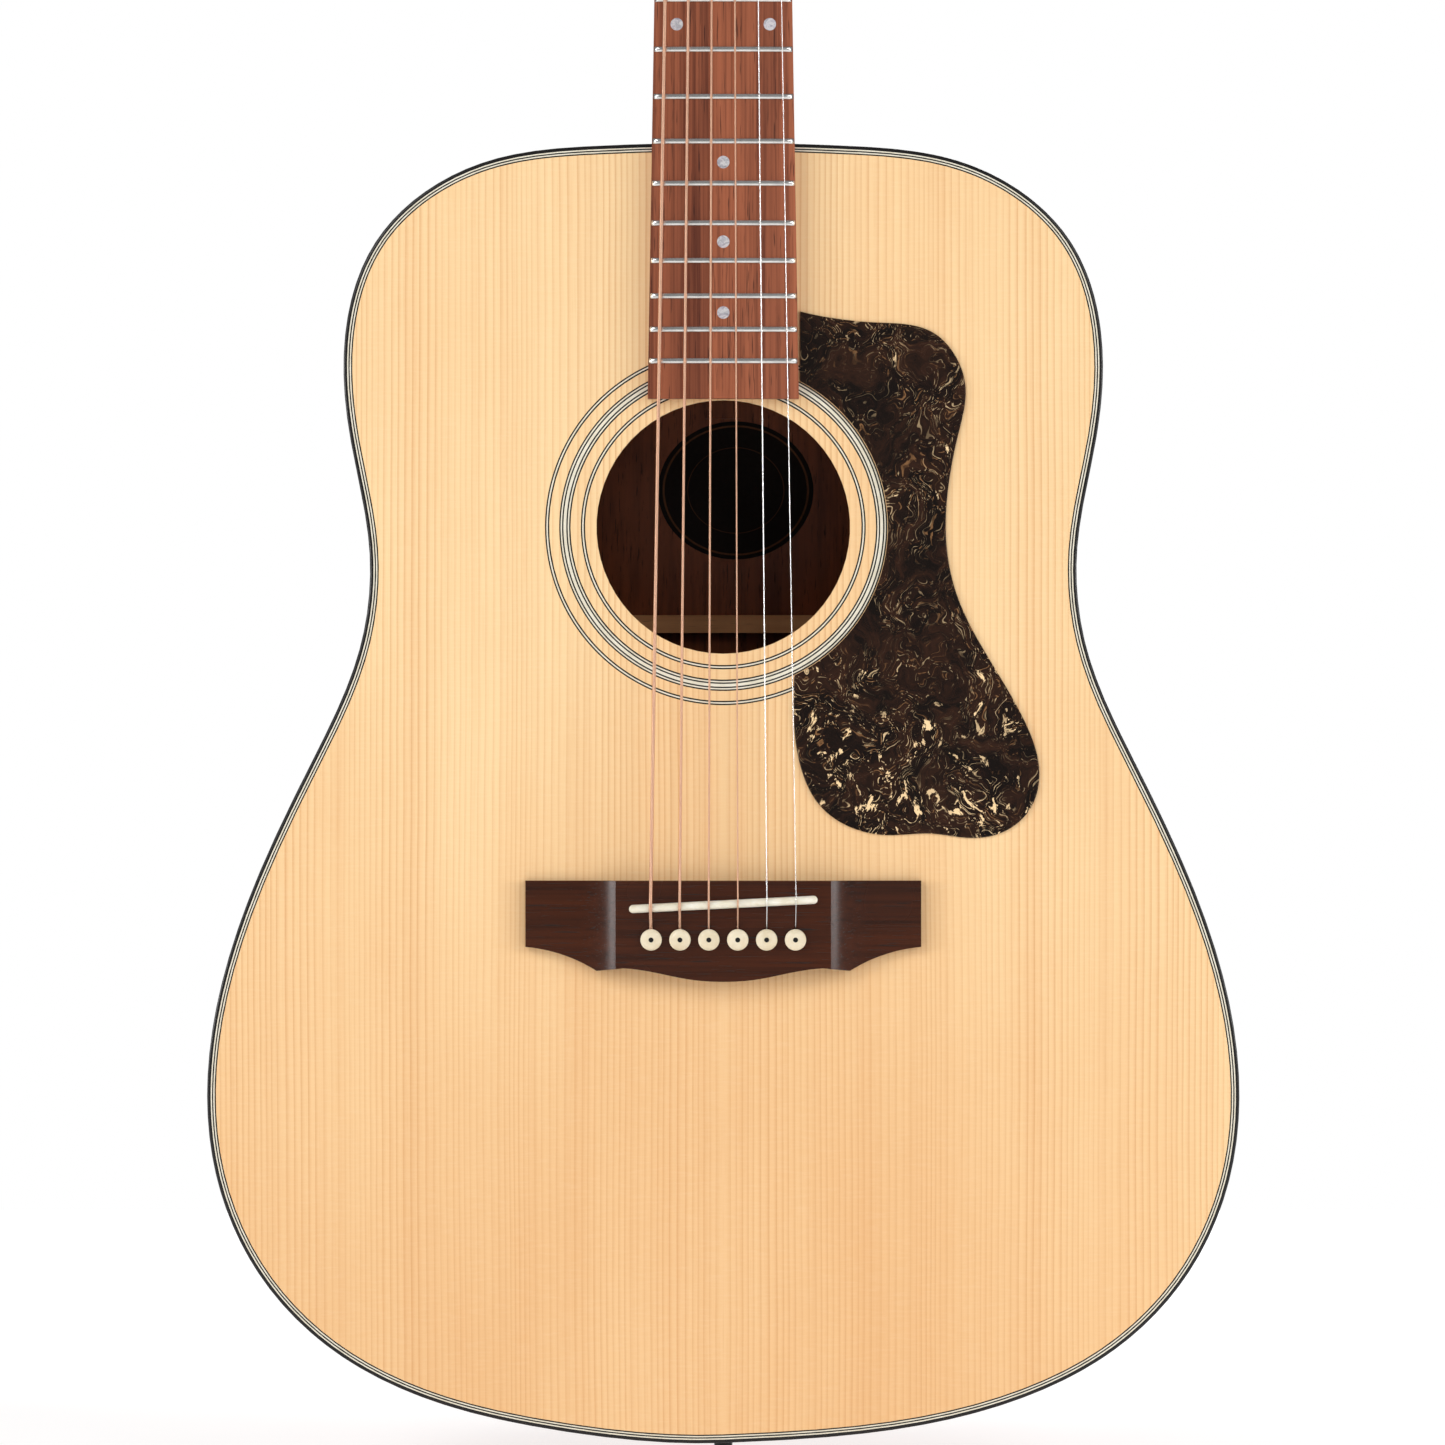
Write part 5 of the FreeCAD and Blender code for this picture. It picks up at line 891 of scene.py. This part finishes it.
@dataclass
class Studio:
    """Camera, soft lights, pale surroundings and floor."""

    distance: float = 3.0
    view_width: float = 557.0 * MM
    sensor_width: float = 36.0
    aim: tuple[float, float, float] = (-0.3 * MM, -60.5 * MM, 283.4 * MM)
    floor_size: float = 3.2
    glow: float = 0.25
    lamps: tuple[Lamp, ...] = (
        Lamp("key", (-1.5, -1.6, 1.5), 1.2, 19.0), Lamp("fill", (1.6, -1.6, 1.3), 1.2, 13.0),
        Lamp("inner", (0.75, -2.2, 0.9), 0.3, 2.6), Lamp("left strip", (-2.3, -0.9, 0.45), 0.45, 20.0),
        Lamp("right strip", (2.3, -0.9, 0.45), 0.45, 15.0), Lamp("back", (0.9, 2.2, 1.4), 1.8, 60.0))

    def build(self) -> None:
        """Makes the studio."""
        self._camera()
        self._surroundings()
        for lamp in self.lamps:
            self._hang(lamp)
        self._floor()

    def _camera(self) -> None:
        """A long lens looking straight at the soundboard."""
        data = bpy.data.cameras.new("camera")
        data.sensor_width = self.sensor_width
        data.lens = self.sensor_width * self.distance / self.view_width
        data.clip_start, data.clip_end = 0.05, 60.0
        camera = bpy.data.objects.new("camera", data)
        camera.location = Vector(self.aim) - Vector((0.0, self.distance, 0.0))
        camera.rotation_euler = (math.radians(90.0), 0.0, 0.0)
        bpy.context.scene.collection.objects.link(camera)
        bpy.context.scene.camera = camera

    def _surroundings(self) -> None:
        """Even white all round, dimmer as a light than it looks."""
        world = bpy.data.worlds.new("surroundings")
        world.use_nodes = True
        tree = world.node_tree
        ground = tree.nodes["Background"]
        ground.inputs["Color"].default_value = (1.0, 1.0, 1.0, 1.0)
        seen = tree.nodes.new("ShaderNodeLightPath")
        level = tree.nodes.new("ShaderNodeMapRange")
        level.inputs["To Min"].default_value = self.glow
        tree.links.new(seen.outputs["Is Camera Ray"], level.inputs["Value"])
        tree.links.new(level.outputs["Result"], ground.inputs["Strength"])
        bpy.context.scene.world = world
        bpy.context.scene.view_settings.view_transform = "Standard"

    def _hang(self, lamp: Lamp) -> None:
        """Hangs one lamp, aimed at the body.

        Args:
            lamp: The lamp, its place and side in metres and its power in watts.
        """
        data = bpy.data.lights.new(lamp.name, "AREA")
        data.size, data.energy = lamp.size, lamp.power
        light = bpy.data.objects.new(lamp.name, data)
        light.location = lamp.place
        light.rotation_euler = (Vector(self.aim) - Vector(lamp.place)).to_track_quat("-Z", "Y").to_euler()
        bpy.context.scene.collection.objects.link(light)

    def _floor(self) -> None:
        """A large pale square just under the end pin."""
        half, level = self.floor_size / 2, CAD_BOX[0].z
        corners = ((-half, -half), (half, -half), (half, half), (-half, half))
        mesh = bpy.data.meshes.new("floor")
        mesh.from_pydata([(x, y, level) for x, y in corners], [], [(0, 1, 2, 3)])
        mesh.materials.append(FloorPaint().material())
        floor = bpy.data.objects.new("floor", mesh)
        bpy.context.scene.collection.objects.link(floor)


def main() -> None:
    """Builds the sub-assemblies in order."""
    for assembly in (Soundbox(), Trim(), BridgeSet(), Neck(), Frets(), Strings(), Windings()):
        for piece in assembly.build():
            LOG.info("%s: %s, %d faces", type(assembly).__name__, piece.name, len(piece.data.polygons))
    Studio().build()


if __name__ == "__main__":
    logging.basicConfig(level=logging.INFO, format="%(name)s %(message)s")
    main()
